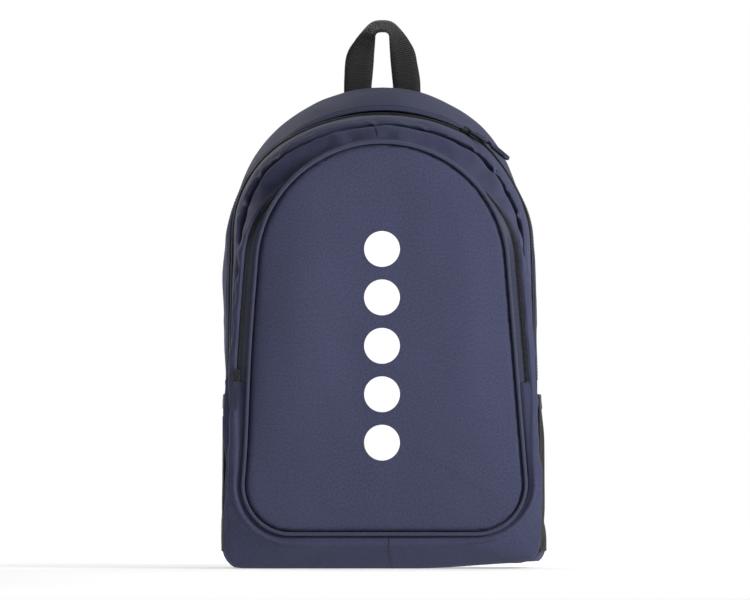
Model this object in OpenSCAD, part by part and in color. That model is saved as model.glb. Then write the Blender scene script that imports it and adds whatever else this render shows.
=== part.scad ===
// School backpack: an arch-topped main compartment that unzips from the back, a zipped front pocket,
// two mesh side pockets, a webbing grab handle and two padded shoulder straps.
// +Z is up, the front faces -Y, and the origin is the centre of the flat base.

/* [Body] */
// Height of the back panel above the base
body_h = 455; // [445:1:465]
// Half of the width across the base
base_half_w = 150; // [149:1:151]
// Half of the width of the front face at its widest
face_half_w = 134; // [130:1:135]
// Height of the top of the front face
face_top = 403; // [400:1:404]
// Fabric with its lining and seam allowance, as one wall
wall = 2.5; // [2.0:0.1:2.8]

/* [Zips] */
// Height of the lower ends of the main zip, where the flap folds
main_fold_z = 176; // [174:1:178]
// Height at which the pocket's front face folds
pocket_fold_z = 190; // [189:1:191]
// Width of the top plate of every slider
slider_w = 7.6; // [6.6:0.1:7.8]
// Length of each zip pull from its bar to its tip
pull_len = 35; // [30:1:36]

/* [Straps] */
// Width of the webbing of the handle and of the strap adjusters
webbing_w = 25; // [24:1:26]
// Width of a shoulder strap at its top
strap_w = 62; // [54:1:64]
// Thickness of a shoulder strap
strap_t = 12; // [9:1:12]
// Height of the grab handle above its hinge line
handle_h = 60; // [50:1:62]

/* [Hidden] */
$fn = 48;

// Planes from front to back
face_y = -80;       // front of the front face
tape_y = -75;       // front of the pocket zip's tape
ridge_y = -38;      // seam between the pocket and the main compartment
zip_y = 8;          // centre line of the main zip
back_y = 78;        // front of the back panel
panel_t = 3;
pad_t = 7;
rear_y = back_y + panel_t;

// An outline is [top, radius at the top, angle where that arc ends, shoulder radius,
// half width at the bottom, height of the bottom, corner radius].
face_o = [face_top, 117, 30, 117, face_half_w, 36, 45];
ridge_o = [427, 175, 30, 101, base_half_w, 0, 20];
zip_o = [434, 180, 30, 106, base_half_w, 0, 20];
back_o = [body_h, 141, 70, 250, base_half_w, 0, 20];

// Offsets outward from the face's edge
piping_d = [1, 6];
coil_w = 2;
slit = 0.6;         // half of the gap between the two halves of a zip
pocket_zip_d = 13;  // centre line of the pocket zip
flange_d = [15.8, 21.5];
gap = 0.3;

// Main slider places, as angles from the vertical on the zip's top arc and on its shoulder arc
slider_a_angle = 26;
slider_b_angle = 33.5;
slider_len = 11;
pocket_slider_z = 184.6;

fold_slope = 1;     // fall of the fold's lower plane for each millimetre forward

// ---------- outlines ----------
function centre1(o) = [0, o[0] - o[1]];
function centre2(o) = centre1(o) + (o[1] - o[3]) * [sin(o[2]), cos(o[2])];
function centre3(o) = [o[4] - o[6], o[5] + o[6]];
// Angle from the vertical of the normal of the straight side
function side_angle(o) =
    let (run = centre2(o) - centre3(o))
    atan2(run[0], run[1]) + acos((o[6] - o[3]) / norm(run));
function on_arc(c, r, a) = c + r * [sin(a), cos(a)];
function right_side(o, d) =
    let (
        a2 = side_angle(o),
        top_end = on_arc(centre2(o), o[3] + d, a2),
        low_end = on_arc(centre3(o), o[6] + d, a2)
    )
    concat(
        [for (i = [0:8]) on_arc(centre1(o), o[1] + d, o[2] * i / 8)],
        [for (i = [1:16]) on_arc(centre2(o), o[3] + d, o[2] + (a2 - o[2]) * i / 16)],
        [for (i = [1:8]) top_end + (low_end - top_end) * i / 8],
        [for (i = [1:8]) on_arc(centre3(o), o[6] + d, a2 + (180 - a2) * i / 8)]
    );
function outline(o, d = 0) =
    let (r = right_side(o, d), n = len(r))
    concat(r, [for (i = [n - 1:-1:1]) [-r[i][0], r[i][1]]]);

module slab(o, d, y0, y1) {
    translate([0, y1, 0]) rotate([90, 0, 0]) linear_extrude(y1 - y0) polygon(outline(o, d));
}

// A flat ring that follows an outline between two offsets
module ring(o, d0, d1, y0, y1) {
    translate([0, y1, 0]) rotate([90, 0, 0]) linear_extrude(y1 - y0) difference() {
        polygon(outline(o, d1));
        polygon(outline(o, d0));
    }
}

// A solid through several outlines, each [outline, offset, y]
module loft(sections) {
    rings = [for (s = sections) [for (p = outline(s[0], s[1])) [p[0], s[2], p[1]]]];
    n = len(rings[0]);
    last = (len(rings) - 1) * n;
    polyhedron(
        points = [for (r = rings) for (p = r) p],
        faces = concat(
            [[for (i = [0:n - 1]) i]],
            [[for (i = [n - 1:-1:0]) last + i]],
            [for (k = [0:len(rings) - 2]) for (i = [0:n - 1]) let (a = k * n + i, b = k * n + (i + 1) % n)
                [a, a + n, b + n, b]]
        )
    );
}

module tube_loft(sections, t) {
    first = sections[0];
    end = sections[len(sections) - 1];
    difference() {
        loft(sections);
        loft(concat(
            [[first[0], first[1] - t, first[2] - 1]],
            [for (s = sections) [s[0], s[1] - t, s[2]]],
            [[end[0], end[1] - t, end[2] + 1]]
        ));
    }
}

// ---------- regions ----------
module above(z) { translate([-300, -250, z]) cube([600, 600, 500]); }
module below(z) { translate([-300, -250, z - 500]) cube([600, 600, 500]); }
module side(s) { translate([s > 0 ? 0 : -300, -250, -50]) cube([300, 600, 700]); }
module yz_prism(points) {
    rotate([90, 0, 90]) linear_extrude(600, center = true) polygon(points);
}
fold_reach = 208;
fold_low = [zip_y - fold_reach, main_fold_z - fold_reach * fold_slope];
// Below the fold: it stays still when the flap opens
module still_region() {
    yz_prism([fold_low, [zip_y, main_fold_z], [250, main_fold_z], [250, -60], [-250, -60], [-250, fold_low[1]]]);
}
// The wedge of fabric that crumples when the flap opens
module fold_region() {
    yz_prism([fold_low + [0, gap], [zip_y - gap, main_fold_z], [fold_low[0], main_fold_z]]);
}
module flap_region() {
    translate([-300, zip_y - 300, main_fold_z + gap]) cube([600, 300 - slit, 400]);
}
module rear_region() {
    translate([-300, zip_y + slit, main_fold_z]) cube([600, 300, 400]);
}
module flap_strip() {
    intersection() {
        translate([-300, -250, main_fold_z + gap]) cube([600, 500, pocket_fold_z - main_fold_z - gap]);
        children();
    }
}

// ---------- main shell ----------
module body_shell() {
    tube_loft([[ridge_o, 0, ridge_y], [zip_o, 0, zip_y], [back_o, 0, back_y]], wall);
}
module body_front_strip() {
    tube_loft([[ridge_o, 0, ridge_y], [zip_o, 0, zip_y - 3]], wall);
}
module body_rear_strip() {
    tube_loft([[zip_o, 0, zip_y + 3], [back_o, 0, back_y]], wall);
}
module base_profile() {
    intersection() {
        difference() {
            polygon(outline(back_o, 0));
            polygon(outline(back_o, -panel_t));
        }
        translate([-200, 0]) square([400, 20]);
    }
}
module base_panel() {
    color("midnightblue")
        translate([0, back_y, 0]) rotate([90, 0, 0]) linear_extrude(back_y - ridge_y) base_profile();
}
module side_panel(s) {
    color("darkslateblue") intersection() {
        body_shell();
        still_region();
        above(20);
        side(s);
    }
}
module back_panel() { color("midnightblue") slab(back_o, 0, back_y, rear_y); }
// Tape bound over the raw seam, inside the bag
module back_seam_binding() {
    color("black") intersection() {
        tube_loft([[zip_o, -wall - 0.8, zip_y], [back_o, -wall - 0.8, back_y]], 1.2);
        above(22);
        translate([-300, back_y - 9, 0]) cube([600, 20, 600]);
    }
}
module back_pad() {
    color("dimgray") intersection() {
        slab(back_o, -27, rear_y, rear_y + pad_t);
        above(100);
        below(392);
    }
}
module rear_gusset() {
    color("darkslateblue") intersection() {
        body_rear_strip();
        rear_region();
    }
}
module divider() { slab(ridge_o, -panel_t - 0.3, ridge_y, ridge_y + wall); }
module main_divider_lower() {
    color("darkslateblue") intersection() {
        divider();
        still_region();
        above(4);
    }
}
module main_divider_upper() {
    color("darkslateblue") intersection() {
        divider();
        flap_region();
    }
}
module gusset_fold() {
    color("slateblue") {
        intersection() {
            body_shell();
            fold_region();
        }
        intersection() {
            pocket_shell_lower();
            fold_region();
        }
        intersection() {
            divider();
            fold_region();
        }
    }
}
module flap_gusset() {
    color("darkslateblue") intersection() {
        body_front_strip();
        flap_region();
    }
}

// ---------- front pocket ----------
module pocket_shell_lower() {
    tube_loft([[face_o, 9, -77.5], [ridge_o, 0, ridge_y]], wall);
}
module pocket_shell_upper() {
    tube_loft([[face_o, flange_d[1], -77.5], [ridge_o, 0, ridge_y]], wall);
    ring(face_o, flange_d[0], flange_d[1] - 0.5, -77.5, -75.2);
}
module pocket_gusset_lower() {
    color("darkslateblue") intersection() {
        pocket_shell_lower();
        still_region();
    }
}
module pocket_gusset_upper() {
    color("darkslateblue") intersection() {
        pocket_shell_upper();
        flap_region();
    }
}
module front_face() { slab(face_o, 0.8, face_y, face_y + panel_t); }
module piping_ring() { ring(face_o, piping_d[0], piping_d[1], face_y - 2, face_y + panel_t); }
module front_face_lower() {
    color("darkslateblue") intersection() {
        front_face();
        still_region();
    }
}
module front_face_fold() {
    color("slateblue") intersection() {
        front_face();
        fold_region();
    }
}
module front_face_middle() {
    color("darkslateblue") flap_strip() {
        front_face();
        piping_ring();
    }
}
module front_face_upper() {
    color("darkslateblue") intersection() {
        front_face();
        above(pocket_fold_z + gap);
    }
}
module piping_lower() {
    color("midnightblue") intersection() {
        piping_ring();
        still_region();
    }
}
module piping_fold() {
    color("midnightblue") intersection() {
        piping_ring();
        fold_region();
    }
}
module piping_upper() {
    color("midnightblue") intersection() {
        piping_ring();
        above(pocket_fold_z + gap);
    }
}

// White printed dots, one above another on the face
dot_pitch = 46;
dot_r = 17;
module dot(i) {
    translate([0, face_y, 304 - dot_pitch * i]) rotate([90, 0, 0]) cylinder(h = 0.5, r = dot_r);
}
module print_dots_upper() { color("white") for (i = [0:2]) dot(i); }
module print_dots_lower() { color("white") for (i = [3:4]) dot(i); }

// ---------- zips ----------
tape_t = 0.8;
coil_h = 2.2;
tape_d = -wall - 0.15;
module main_coil(y0, y1) { ring(zip_o, -wall, -wall + coil_h, y0, y1); }
module main_zip_tape_rear() {
    color("black") intersection() {
        tube_loft([[zip_o, tape_d, zip_y + slit], [zip_o, tape_d, zip_y + 3], [back_o, tape_d, back_y]], tape_t);
        above(main_fold_z + 1);
        translate([-300, -300, 0]) cube([600, 300 + zip_y + 10, 600]);
    }
}
module main_zip_tape_front() {
    color("black") intersection() {
        tube_loft([[ridge_o, tape_d, ridge_y], [zip_o, tape_d, zip_y - 3], [zip_o, tape_d, zip_y - slit]], tape_t);
        above(main_fold_z + 1);
        translate([-300, zip_y - 10, 0]) cube([600, 300, 600]);
    }
}
module main_zip_coil_rear() {
    color("black") intersection() {
        main_coil(zip_y + slit, zip_y + slit + coil_w);
        above(main_fold_z + 1);
    }
}
module main_zip_coil_front() {
    color("black") intersection() {
        main_coil(zip_y - slit - coil_w, zip_y - slit);
        above(main_fold_z + 1);
    }
}
module main_zip_stops() {
    color("black") intersection() {
        ring(zip_o, 0.2, 1.4, zip_y + 0.3, zip_y + 7);
        translate([-300, 0, main_fold_z - 6]) cube([600, 20, 4]);
    }
}
// The pocket zip's own straight end runs a little below the fold of its face
module pocket_ring(d0, d1, y0, y1, z) {
    intersection() {
        ring(face_o, pocket_zip_d + d0, pocket_zip_d + d1, y0, y1);
        above(z);
    }
}
module pocket_zip_tape_outer() {
    color("dimgray") {
        pocket_ring(slit, 4.6, tape_y, tape_y + tape_t, main_fold_z + 1);
        intersection() {
            pocket_ring(-6.8, -slit, tape_y, tape_y + tape_t, main_fold_z + 1);
            below(pocket_fold_z - gap);
        }
    }
}
module pocket_zip_coil_outer() {
    color("black") {
        pocket_ring(slit, slit + coil_w, tape_y - coil_h, tape_y, main_fold_z + 1);
        intersection() {
            pocket_ring(-slit - coil_w, -slit, tape_y - coil_h, tape_y, main_fold_z + 1);
            below(pocket_fold_z - gap);
        }
    }
}
module pocket_zip_tape_inner() {
    color("dimgray") pocket_ring(-6.8, -slit, tape_y, tape_y + tape_t, pocket_fold_z + gap);
}
module pocket_zip_coil_inner() {
    color("black") pocket_ring(-slit - coil_w, -slit, tape_y - coil_h, tape_y, pocket_fold_z + gap);
}
module pocket_zip_stops() {
    color("black") for (s = [-1, 1]) intersection() {
        ring(face_o, pocket_zip_d - 2.6, pocket_zip_d + 2.6, tape_y - coil_h - 0.8, tape_y - coil_h);
        translate([-300, -100, main_fold_z + 1]) cube([600, 60, 1.6]);
        side(s);
    }
}

// A slider's own frame: +X along the zip, +Y across it, +Z out of the bag, with the tape's face at z = 0.
plate_z = coil_h + 0.9;
plate_t = 1.2;
bar_z = plate_z + plate_t + 1.55;
bridge_h = 3.4;
bridge_l = 5.9;
module slider_plate(z) {
    translate([0, 0, z]) linear_extrude(plate_t) polygon([
        [-slider_len / 2, -slider_w * 0.34], [-slider_len / 2 + 2, -slider_w / 2],
        [slider_len * 0.2, -slider_w / 2], [slider_len / 2, -slider_w * 0.3],
        [slider_len / 2, slider_w * 0.3], [slider_len * 0.2, slider_w / 2],
        [-slider_len / 2 + 2, slider_w / 2], [-slider_len / 2, slider_w * 0.34]
    ]);
}
module slider() {
    slider_plate(plate_z);
    slider_plate(-tape_t - 0.5 - plate_t);
    translate([-slider_len * 0.35, -0.35, -tape_t - 0.6]) cube([slider_len * 0.6, 0.7, plate_z + tape_t + 0.8]);
    difference() {
        translate([-bridge_l / 2, -0.75, plate_z + plate_t - 0.2]) cube([bridge_l, 1.5, bridge_h + 0.2]);
        translate([-2.2, -1, plate_z + plate_t]) cube([4.4, 2, bridge_h - 1.1]);
    }
}
// The link's bar lies across the slider under its bridge. The link and its grip run along +X from it.
link_w = 7.2;
cross_x = 7.6;      // from the bar to the link's cross bar, which holds the grip
module on_bar(tilt) { translate([0, 0, bar_z]) rotate([0, tilt, 0]) children(); }
module pull_link(tilt = 0) {
    on_bar(tilt) {
        for (x = [0, cross_x]) translate([x, link_w / 2, 0]) rotate([90, 0, 0]) cylinder(h = link_w, r = 0.6);
        for (s = [-1, 1]) translate([0, s * (link_w / 2 - 0.4) - 0.4, -0.6]) cube([cross_x, 0.8, 1.2]);
    }
}
// The soft grip may be twisted about its length, beyond the link
twist_x = 13;
module pull_grip(tilt = 0, twist = 0) {
    on_bar(tilt) difference() {
        union() {
            translate([6.3, -2.5, -1.4]) cube([4, 5, 2.8]);
            for (i = [0:2]) rotate([twist * i / 3, 0, 0])
                translate([9.3 + i * 1.2, -3 - 0.1 * i, -1]) cube([1.6, 6 + 0.2 * i, 2]);
            rotate([twist, 0, 0]) {
                translate([twist_x - 0.01, -3.3, -1.1]) cube([pull_len - 3.3 - twist_x + 0.01, 6.6, 2.2]);
                translate([pull_len - 3.3, 0, -1.1]) cylinder(h = 2.2, r = 3.3);
                for (i = [0:7]) translate([14.2 + i * 2.1, -2.7, -1.4]) cube([1, 5.4, 2.8]);
            }
        }
        translate([cross_x, 5, 0]) rotate([90, 0, 0]) cylinder(h = 10, r = 0.85);
    }
}
module on_main_zip(c, r, a) {
    translate([c[0], zip_y, c[1]]) rotate([0, a, 0]) translate([0, 0, r - wall]) children();
}
module at_slider_a() { on_main_zip(centre1(zip_o), zip_o[1], slider_a_angle) children(); }
module at_slider_b() { on_main_zip(centre2(zip_o), zip_o[3], slider_b_angle) children(); }
skew_a = -50;
skew_b = -30;
tilt_a = 4;
tilt_b = 6;
twist_a = 24;
twist_b = 28;
module main_slider_a() { color("gray") at_slider_a() slider(); }
module main_slider_b() { color("gray") at_slider_b() slider(); }
module main_pull_link_a() { color("silver") at_slider_a() rotate([0, 0, skew_a]) pull_link(tilt_a); }
module main_pull_grip_a() { color("dimgray") at_slider_a() rotate([0, 0, skew_a]) pull_grip(tilt_a, twist_a); }
module main_pull_link_b() { color("silver") at_slider_b() rotate([0, 0, skew_b]) pull_link(tilt_b); }
module main_pull_grip_b() { color("dimgray") at_slider_b() rotate([0, 0, skew_b]) pull_grip(tilt_b, twist_b); }
// The pocket slider's place on the left straight side
pocket_side_angle = side_angle(face_o);
function pocket_zip_point(z) =
    let (p = on_arc(centre2(face_o), face_o[3] + pocket_zip_d, pocket_side_angle))
    [-(p[0] + (p[1] - z) / tan(pocket_side_angle)), z];
module at_pocket_slider() {
    p = pocket_zip_point(pocket_slider_z);
    translate([p[0], tape_y, p[1]]) rotate([0, -pocket_side_angle, 0]) rotate([90, 0, 0]) children();
}
module pocket_slider() { color("gray") at_pocket_slider() slider(); }
module pocket_pull_link() { color("silver") at_pocket_slider() rotate([0, 0, 180]) pull_link(); }
module pocket_pull_grip() { color("dimgray") at_pocket_slider() rotate([0, 0, 180]) pull_grip(); }

// ---------- side pockets and label ----------
mesh_out = 157;
mesh_t = 1.2;
mesh_z = [14, 156];
elastic_h = 9;
module mesh_plan(t) {
    polygon([
        [147, -31], [152, -31 + t], [mesh_out, -18], [mesh_out, 57], [152, 70 - t], [147, 70],
        [147, 70 - 1.2 * t], [152 - t, 69 - 2 * t], [mesh_out - t, 56], [mesh_out - t, -17],
        [152 - t, -30 + 2 * t], [147, -31 + 1.2 * t]
    ]);
}
module mesh_floor_plan() { polygon([[147, -29], [mesh_out - 1, -16], [mesh_out - 1, 55], [147, 68]]); }
module clear_of_body() {
    difference() {
        children();
        loft([[ridge_o, 0.2, ridge_y - 1], [zip_o, 0.2, zip_y], [back_o, 0.2, back_y]]);
    }
}
module mesh_pocket(s) {
    color("black") mirror([s < 0 ? 1 : 0, 0, 0]) clear_of_body() {
        translate([0, 0, mesh_z[0]]) linear_extrude(mesh_z[1] - mesh_z[0]) mesh_plan(mesh_t);
        translate([0, 0, mesh_z[0]]) linear_extrude(1.6) mesh_floor_plan();
    }
}
module pocket_elastic(s) {
    color("dimgray") mirror([s < 0 ? 1 : 0, 0, 0]) clear_of_body()
        translate([0, 0, mesh_z[1]]) linear_extrude(elastic_h) mesh_plan(mesh_t + 0.6);
}
module side_label() {
    color("royalblue") clear_of_body()
        translate([-153.5, ridge_y + 0.5, 123]) cube([8, 1.4, 22]);
}

// ---------- straps and handle ----------
module strap_yoke() {
    color("midnightblue") intersection() {
        slab(back_o, -8, rear_y, rear_y + 3);
        above(396);
    }
}
yoke_y = rear_y + 3;
handle_z = 460;
leg_in = 11;
module handle_ends() {
    color("black") for (s = [-1, 1])
        translate([s > 0 ? leg_in : -leg_in - webbing_w, yoke_y, 418]) cube([webbing_w, 2.5, handle_z - 2 - 418]);
}
module grab_handle() {
    leg_out = leg_in + webbing_w;
    z0 = handle_z + 1.5;
    z1 = handle_z + handle_h;
    color("black") translate([0, yoke_y + 2.5, 0]) rotate([90, 0, 0]) linear_extrude(2.5) difference() {
        polygon([
            [-leg_out, z0], [-leg_out + 4, z1 - 29], [-12, z1 - 2], [-8, z1], [8, z1], [12, z1 - 2],
            [leg_out - 14, z1 - 12], [leg_out - 8, z1 - 24], [leg_out, z0]
        ]);
        polygon([[-leg_in, z0 - 1], [-leg_in + 2.5, z1 - 14], [-4, z1 - 11], [5, z1 - 11], [leg_in - 2, z1 - 14], [leg_in, z0 - 1]]);
    }
}

// Centre line of the right strap, from its seam to its ladder lock: [x, y, z, half width]
strap_path = [
    [54.5, 117, 379, 0.5], [57.5, 125, 363, 0.5], [62, 132, 344, 0.5], [68, 138, 318, 0.5], [76, 141, 290, 0.49],
    [85, 140, 262, 0.46], [94, 136, 235, 0.42], [102, 130, 210, 0.38], [109, 123, 187, 0.34], [114, 117, 168, 0.3]
];
lock_at = [116.5, 114, 158];

function unit(v) = v / norm(v);
function ring8(p, along, w, t) =
    let (
        across = unit([cos(8), 0, sin(8)] - ([cos(8), 0, sin(8)] * along) * along),
        up = cross(across, along),
        k = [[1, 0.5], [0.8, 1], [-0.8, 1], [-1, 0.5], [-1, -0.5], [-0.8, -1], [0.8, -1], [1, -0.5]]
    )
    [for (c = k) p + across * w * c[0] + up * t / 2 * c[1]];
module band(rings) {
    n = len(rings[0]);
    last = (len(rings) - 1) * n;
    polyhedron(
        points = [for (r = rings) for (p = r) p],
        faces = concat(
            [[for (i = [n - 1:-1:0]) i]],
            [[for (i = [0:n - 1]) last + i]],
            [for (k = [0:len(rings) - 2]) for (i = [0:n - 1]) let (a = k * n + i, b = k * n + (i + 1) % n)
                [a, b, b + n, a + n]]
        )
    );
}
module strap_band(path, t) {
    n = len(path);
    band([for (i = [0:n - 1]) let (
        p = [for (j = [0:2]) path[i][j]],
        a = [for (j = [0:2]) path[max(i - 1, 0)][j]],
        b = [for (j = [0:2]) path[min(i + 1, n - 1)][j]]
    ) ring8(p, unit(b - a), path[i][3] * strap_w, t)]);
}
module mirrored(s) { mirror([s < 0 ? 1 : 0, 0, 0]) children(); }
module shoulder_strap(s) { color("midnightblue") mirrored(s) strap_band(strap_path, strap_t); }
module strap_root(s) {
    color("midnightblue") mirrored(s)
        strap_band([[50, yoke_y + 3.4, 410, 0.5], [50.5, yoke_y + 4.5, 402, 0.5], [51.5, 96, 397, 0.5], [52.5, 102, 392.5, 0.5]], 6);
}
// Frame of the ladder lock: +X across, +Z up along the webbing, -Y towards the bag
module at_lock(s) {
    mirrored(s) translate(lock_at) rotate([-14, -7, 0]) children();
}
lock_w = 33;
lock_h = 26;
lock_t = 4.5;
module ladder_lock(s) {
    color("black") at_lock(s) difference() {
        translate([-lock_w / 2, -lock_t / 2, -lock_h]) cube([lock_w, lock_t, lock_h]);
        for (z = [-7, -14, -22]) translate([-13.5, -5, z]) cube([27, 10, 4.4]);
    }
}
// The webbing from the lock down to the wing, its free tail outside it, and the short loop that holds the lock
module strap_webbing(s) {
    color("black") at_lock(s) {
        translate([-webbing_w / 2, -4.4, -98]) cube([webbing_w, 1.6, 92]);
        translate([-webbing_w / 2, 2.8, -84]) cube([webbing_w, 1.6, 78]);
        translate([-webbing_w / 2, -2.8, -13.6]) cube([webbing_w, 5.6, 3.6]);
    }
}
module strap_wing(s) {
    color("midnightblue") mirrored(s) translate([0, yoke_y, 0]) rotate([90, 0, 0]) linear_extrude(3)
        polygon([[149, 20], [149, 74], [139, 58], [120, 58], [120, 38]]);
    color("black") mirrored(s) translate([116, yoke_y + 0.1, 32]) rotate([0, -7, 0]) cube([webbing_w, 1.6, 22]);
}

base_panel();
side_panel(-1);  // side_panel_left
side_panel(1);  // side_panel_right
back_panel();
back_seam_binding();
back_pad();
rear_gusset();
main_divider_lower();
gusset_fold();
pocket_gusset_lower();
front_face_lower();
front_face_fold();
piping_lower();
piping_fold();
main_zip_tape_rear();
main_zip_coil_rear();
main_zip_stops();
mesh_pocket(-1);  // mesh_pocket_left
mesh_pocket(1);  // mesh_pocket_right
pocket_elastic(-1);  // pocket_elastic_left
pocket_elastic(1);  // pocket_elastic_right
strap_yoke();
handle_ends();
strap_root(-1);  // strap_root_left
strap_root(1);  // strap_root_right
strap_wing(-1);  // strap_wing_left
strap_wing(1);  // strap_wing_right
side_label();
print_dots_lower();
main_divider_upper();
flap_gusset();
pocket_gusset_upper();
main_zip_tape_front();
main_zip_coil_front();
pocket_zip_tape_outer();
pocket_zip_coil_outer();
pocket_zip_stops();
front_face_middle();
front_face_upper();
piping_upper();
pocket_zip_tape_inner();
pocket_zip_coil_inner();
print_dots_upper();
main_slider_a();
main_pull_link_a();
main_pull_grip_a();
main_slider_b();
main_pull_link_b();
main_pull_grip_b();
pocket_slider();
pocket_pull_link();
pocket_pull_grip();
grab_handle();
shoulder_strap(-1);  // shoulder_strap_left
ladder_lock(-1);  // ladder_lock_left
strap_webbing(-1);  // strap_webbing_left
shoulder_strap(1);  // shoulder_strap_right
ladder_lock(1);  // ladder_lock_right
strap_webbing(1);  // strap_webbing_right
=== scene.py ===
"""School backpack: the visual model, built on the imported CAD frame. Helpers work in millimetres."""
import math

import bmesh
import bpy
import numpy as np
from mathutils import Matrix, Vector, noise
from mathutils.bvhtree import BVHTree
from mathutils.geometry import delaunay_2d_cdt


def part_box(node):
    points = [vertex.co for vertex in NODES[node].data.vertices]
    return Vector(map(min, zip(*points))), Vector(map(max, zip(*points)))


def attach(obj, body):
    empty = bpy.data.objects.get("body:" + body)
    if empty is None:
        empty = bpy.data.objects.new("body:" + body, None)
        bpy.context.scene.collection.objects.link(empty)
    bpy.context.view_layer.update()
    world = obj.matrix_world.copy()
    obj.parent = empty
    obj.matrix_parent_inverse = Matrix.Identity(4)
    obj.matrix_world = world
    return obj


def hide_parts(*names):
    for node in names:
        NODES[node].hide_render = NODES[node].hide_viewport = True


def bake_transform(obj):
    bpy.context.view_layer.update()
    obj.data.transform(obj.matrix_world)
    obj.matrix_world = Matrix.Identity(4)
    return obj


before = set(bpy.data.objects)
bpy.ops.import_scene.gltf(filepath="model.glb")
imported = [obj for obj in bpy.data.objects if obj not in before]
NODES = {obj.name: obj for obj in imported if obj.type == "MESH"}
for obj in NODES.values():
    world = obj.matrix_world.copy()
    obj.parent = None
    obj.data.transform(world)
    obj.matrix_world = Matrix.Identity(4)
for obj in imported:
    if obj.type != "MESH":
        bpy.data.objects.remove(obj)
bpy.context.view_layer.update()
MM = 0.001


# ---------------------------------------------------------------- numbers and curves
def smooth(x, a=0.0, b=1.0):
    k = np.clip((np.asarray(x, float) - a) / (b - a), 0, 1)
    return k * k * (3 - 2 * k)


def bell(x, centre, width):
    return np.exp(-(((np.asarray(x, float) - centre) / width) ** 2))


def nz(points, scale, seed=0.0):
    """Smooth noise at points in mm, about -1..1."""
    flat = np.asarray(points, float).reshape(-1, 3) / scale + (seed, -seed, 2 * seed)
    return np.array([noise.noise(Vector(p)) for p in flat]).reshape(np.shape(points)[:-1])


def nzt(t, scale, seed=0.0):
    """Smooth noise along one number."""
    return np.array([noise.noise(Vector((v / scale + seed, seed,
        1.7))) for v in np.ravel(t)]).reshape(np.shape(t))


class Outline:
    """The bag's arch-shaped outline: a top arc, a shoulder arc, a straight side, a corner and a flat bottom.
    t runs from -1, the middle of the bottom, over the left side and the top at 0, round to 1."""

    BREAKS = (0, 0.16, 0.34, 0.72, 0.80, 1)

    def __init__(self, top, r1, a1, r2, half_w, low, corner):
        self.a1 = math.radians(a1)
        self.r1, self.r2, self.rc = r1, r2, corner
        self.c1 = np.array([0, top - r1])
        self.c2 = self.c1 + (r1 - r2) * np.array([math.sin(self.a1), math.cos(self.a1)])
        self.c3 = np.array([half_w - corner, low + corner])
        run = self.c2 - self.c3
        self.a2 = math.atan2(*run) + math.acos((corner - r2) / np.hypot(*run))

    def at(self, t, d=0.0):
        """x, z and outward normal at t, for the outline moved out by d."""
        t = np.asarray(t, float)
        d = np.broadcast_to(np.asarray(d, float), t.shape)
        s, u = np.where(t < 0, -1.0, 1.0), np.abs(t)
        b = self.BREAKS
        x, z, nx, nn = (np.zeros(t.shape) for _ in range(4))
        arcs = (
            (b[0], b[1], self.c1, self.r1, 0, self.a1),
            (b[1], b[2], self.c2, self.r2, self.a1, self.a2),
            (b[3], b[4], self.c3, self.rc, self.a2, math.pi),
        )
        for lo, hi, c, r, a, e in arcs:
            m = (u >= lo) & (u <= hi)
            ang = a + (e - a) * (u[m] - lo) / (hi - lo)
            x[m], z[m] = c[0] + (r + d[m]) * np.sin(ang), c[1] + (r + d[m]) * np.cos(ang)
            nx[m], nn[m] = np.sin(ang), np.cos(ang)
        m = (u > b[2]) & (u < b[3])
        k, n = (u[m] - b[2]) / (b[3] - b[2]), np.array([math.sin(self.a2), math.cos(self.a2)])
        for out, i in ((x, 0), (z, 1)):
            out[m] = (self.c2[i] + (self.r2 + d[m]) * n[i]) * (1 - k) + (
                self.c3[i] + (self.rc + d[m]) * n[i]) * k
        nx[m], nn[m] = n
        m = u > b[4]
        k = (u[m] - b[4]) / (b[5] - b[4])
        x[m], z[m] = self.c3[0] * (1 - k), self.c3[1] - self.rc - d[m]
        nx[m], nn[m] = 0, -1
        return s * x, z, s * nx, nn

    def ring(self, t, d, y):
        x, z, _, _ = self.at(t, d)
        return np.stack([x, np.broadcast_to(np.asarray(y, float), x.shape), z], -1)

    def even(self, n, d=0.0, t0=-1.0, t1=1.0):
        """n values of t, evenly spaced along the outline from t0 to t1."""
        t = np.linspace(t0, t1, 4001)
        p = self.ring(t, d, 0)
        s = np.concatenate([[0], np.cumsum(np.linalg.norm(np.diff(p, axis=0), axis=1))])
        return np.interp(np.linspace(0, s[-1], n), s, t)

    def t_at(self, z, d=0.0):
        """t on the right side where the outline passes height z."""
        t = np.linspace(0.0, 0.8, 4001)
        return float(np.interp(-z, -self.at(t, d)[1], t))


FACE = Outline(403, 117, 30, 117, 134, 36, 45)
RIDGE = Outline(427, 175, 30, 101, 150, 0, 20)
ZIP = Outline(434, 180, 30, 106, 150, 0, 20)
BACK = Outline(455, 141, 70, 250, 150, 0, 20)


def mix(a, b, k):
    return a * (1 - k) + b * k


def rows(stations, per):
    """Smooth rows through stations, each an array of points: a Catmull-Rom spline across them."""
    s = [2 * stations[0] - stations[1], *stations, 2 * stations[-1] - stations[-2]]
    out = []
    for i in range(1, len(s) - 2):
        a, b, c, d = s[i - 1 : i + 3]
        n = per[i - 1] if isinstance(per, (list, tuple)) else per
        for k in np.arange(n) / n:
            out.append(0.5 * (2 * b + (c - a) * k + (2 * a - 5 * b + 4 * c - d) * k**2
                              + (3 * b - a - 3 * c + d) * k**3))
    out.append(s[-2])
    return np.array(out)


def grid_normals(p, closed):
    if closed:
        along = np.roll(p, -1, 1) - np.roll(p, 1, 1)
    else:
        along = np.gradient(p, axis=1)
    n = np.cross(along, np.gradient(p, axis=0))
    return n / np.maximum(np.linalg.norm(n, axis=2, keepdims=True), 1e-9)


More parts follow.
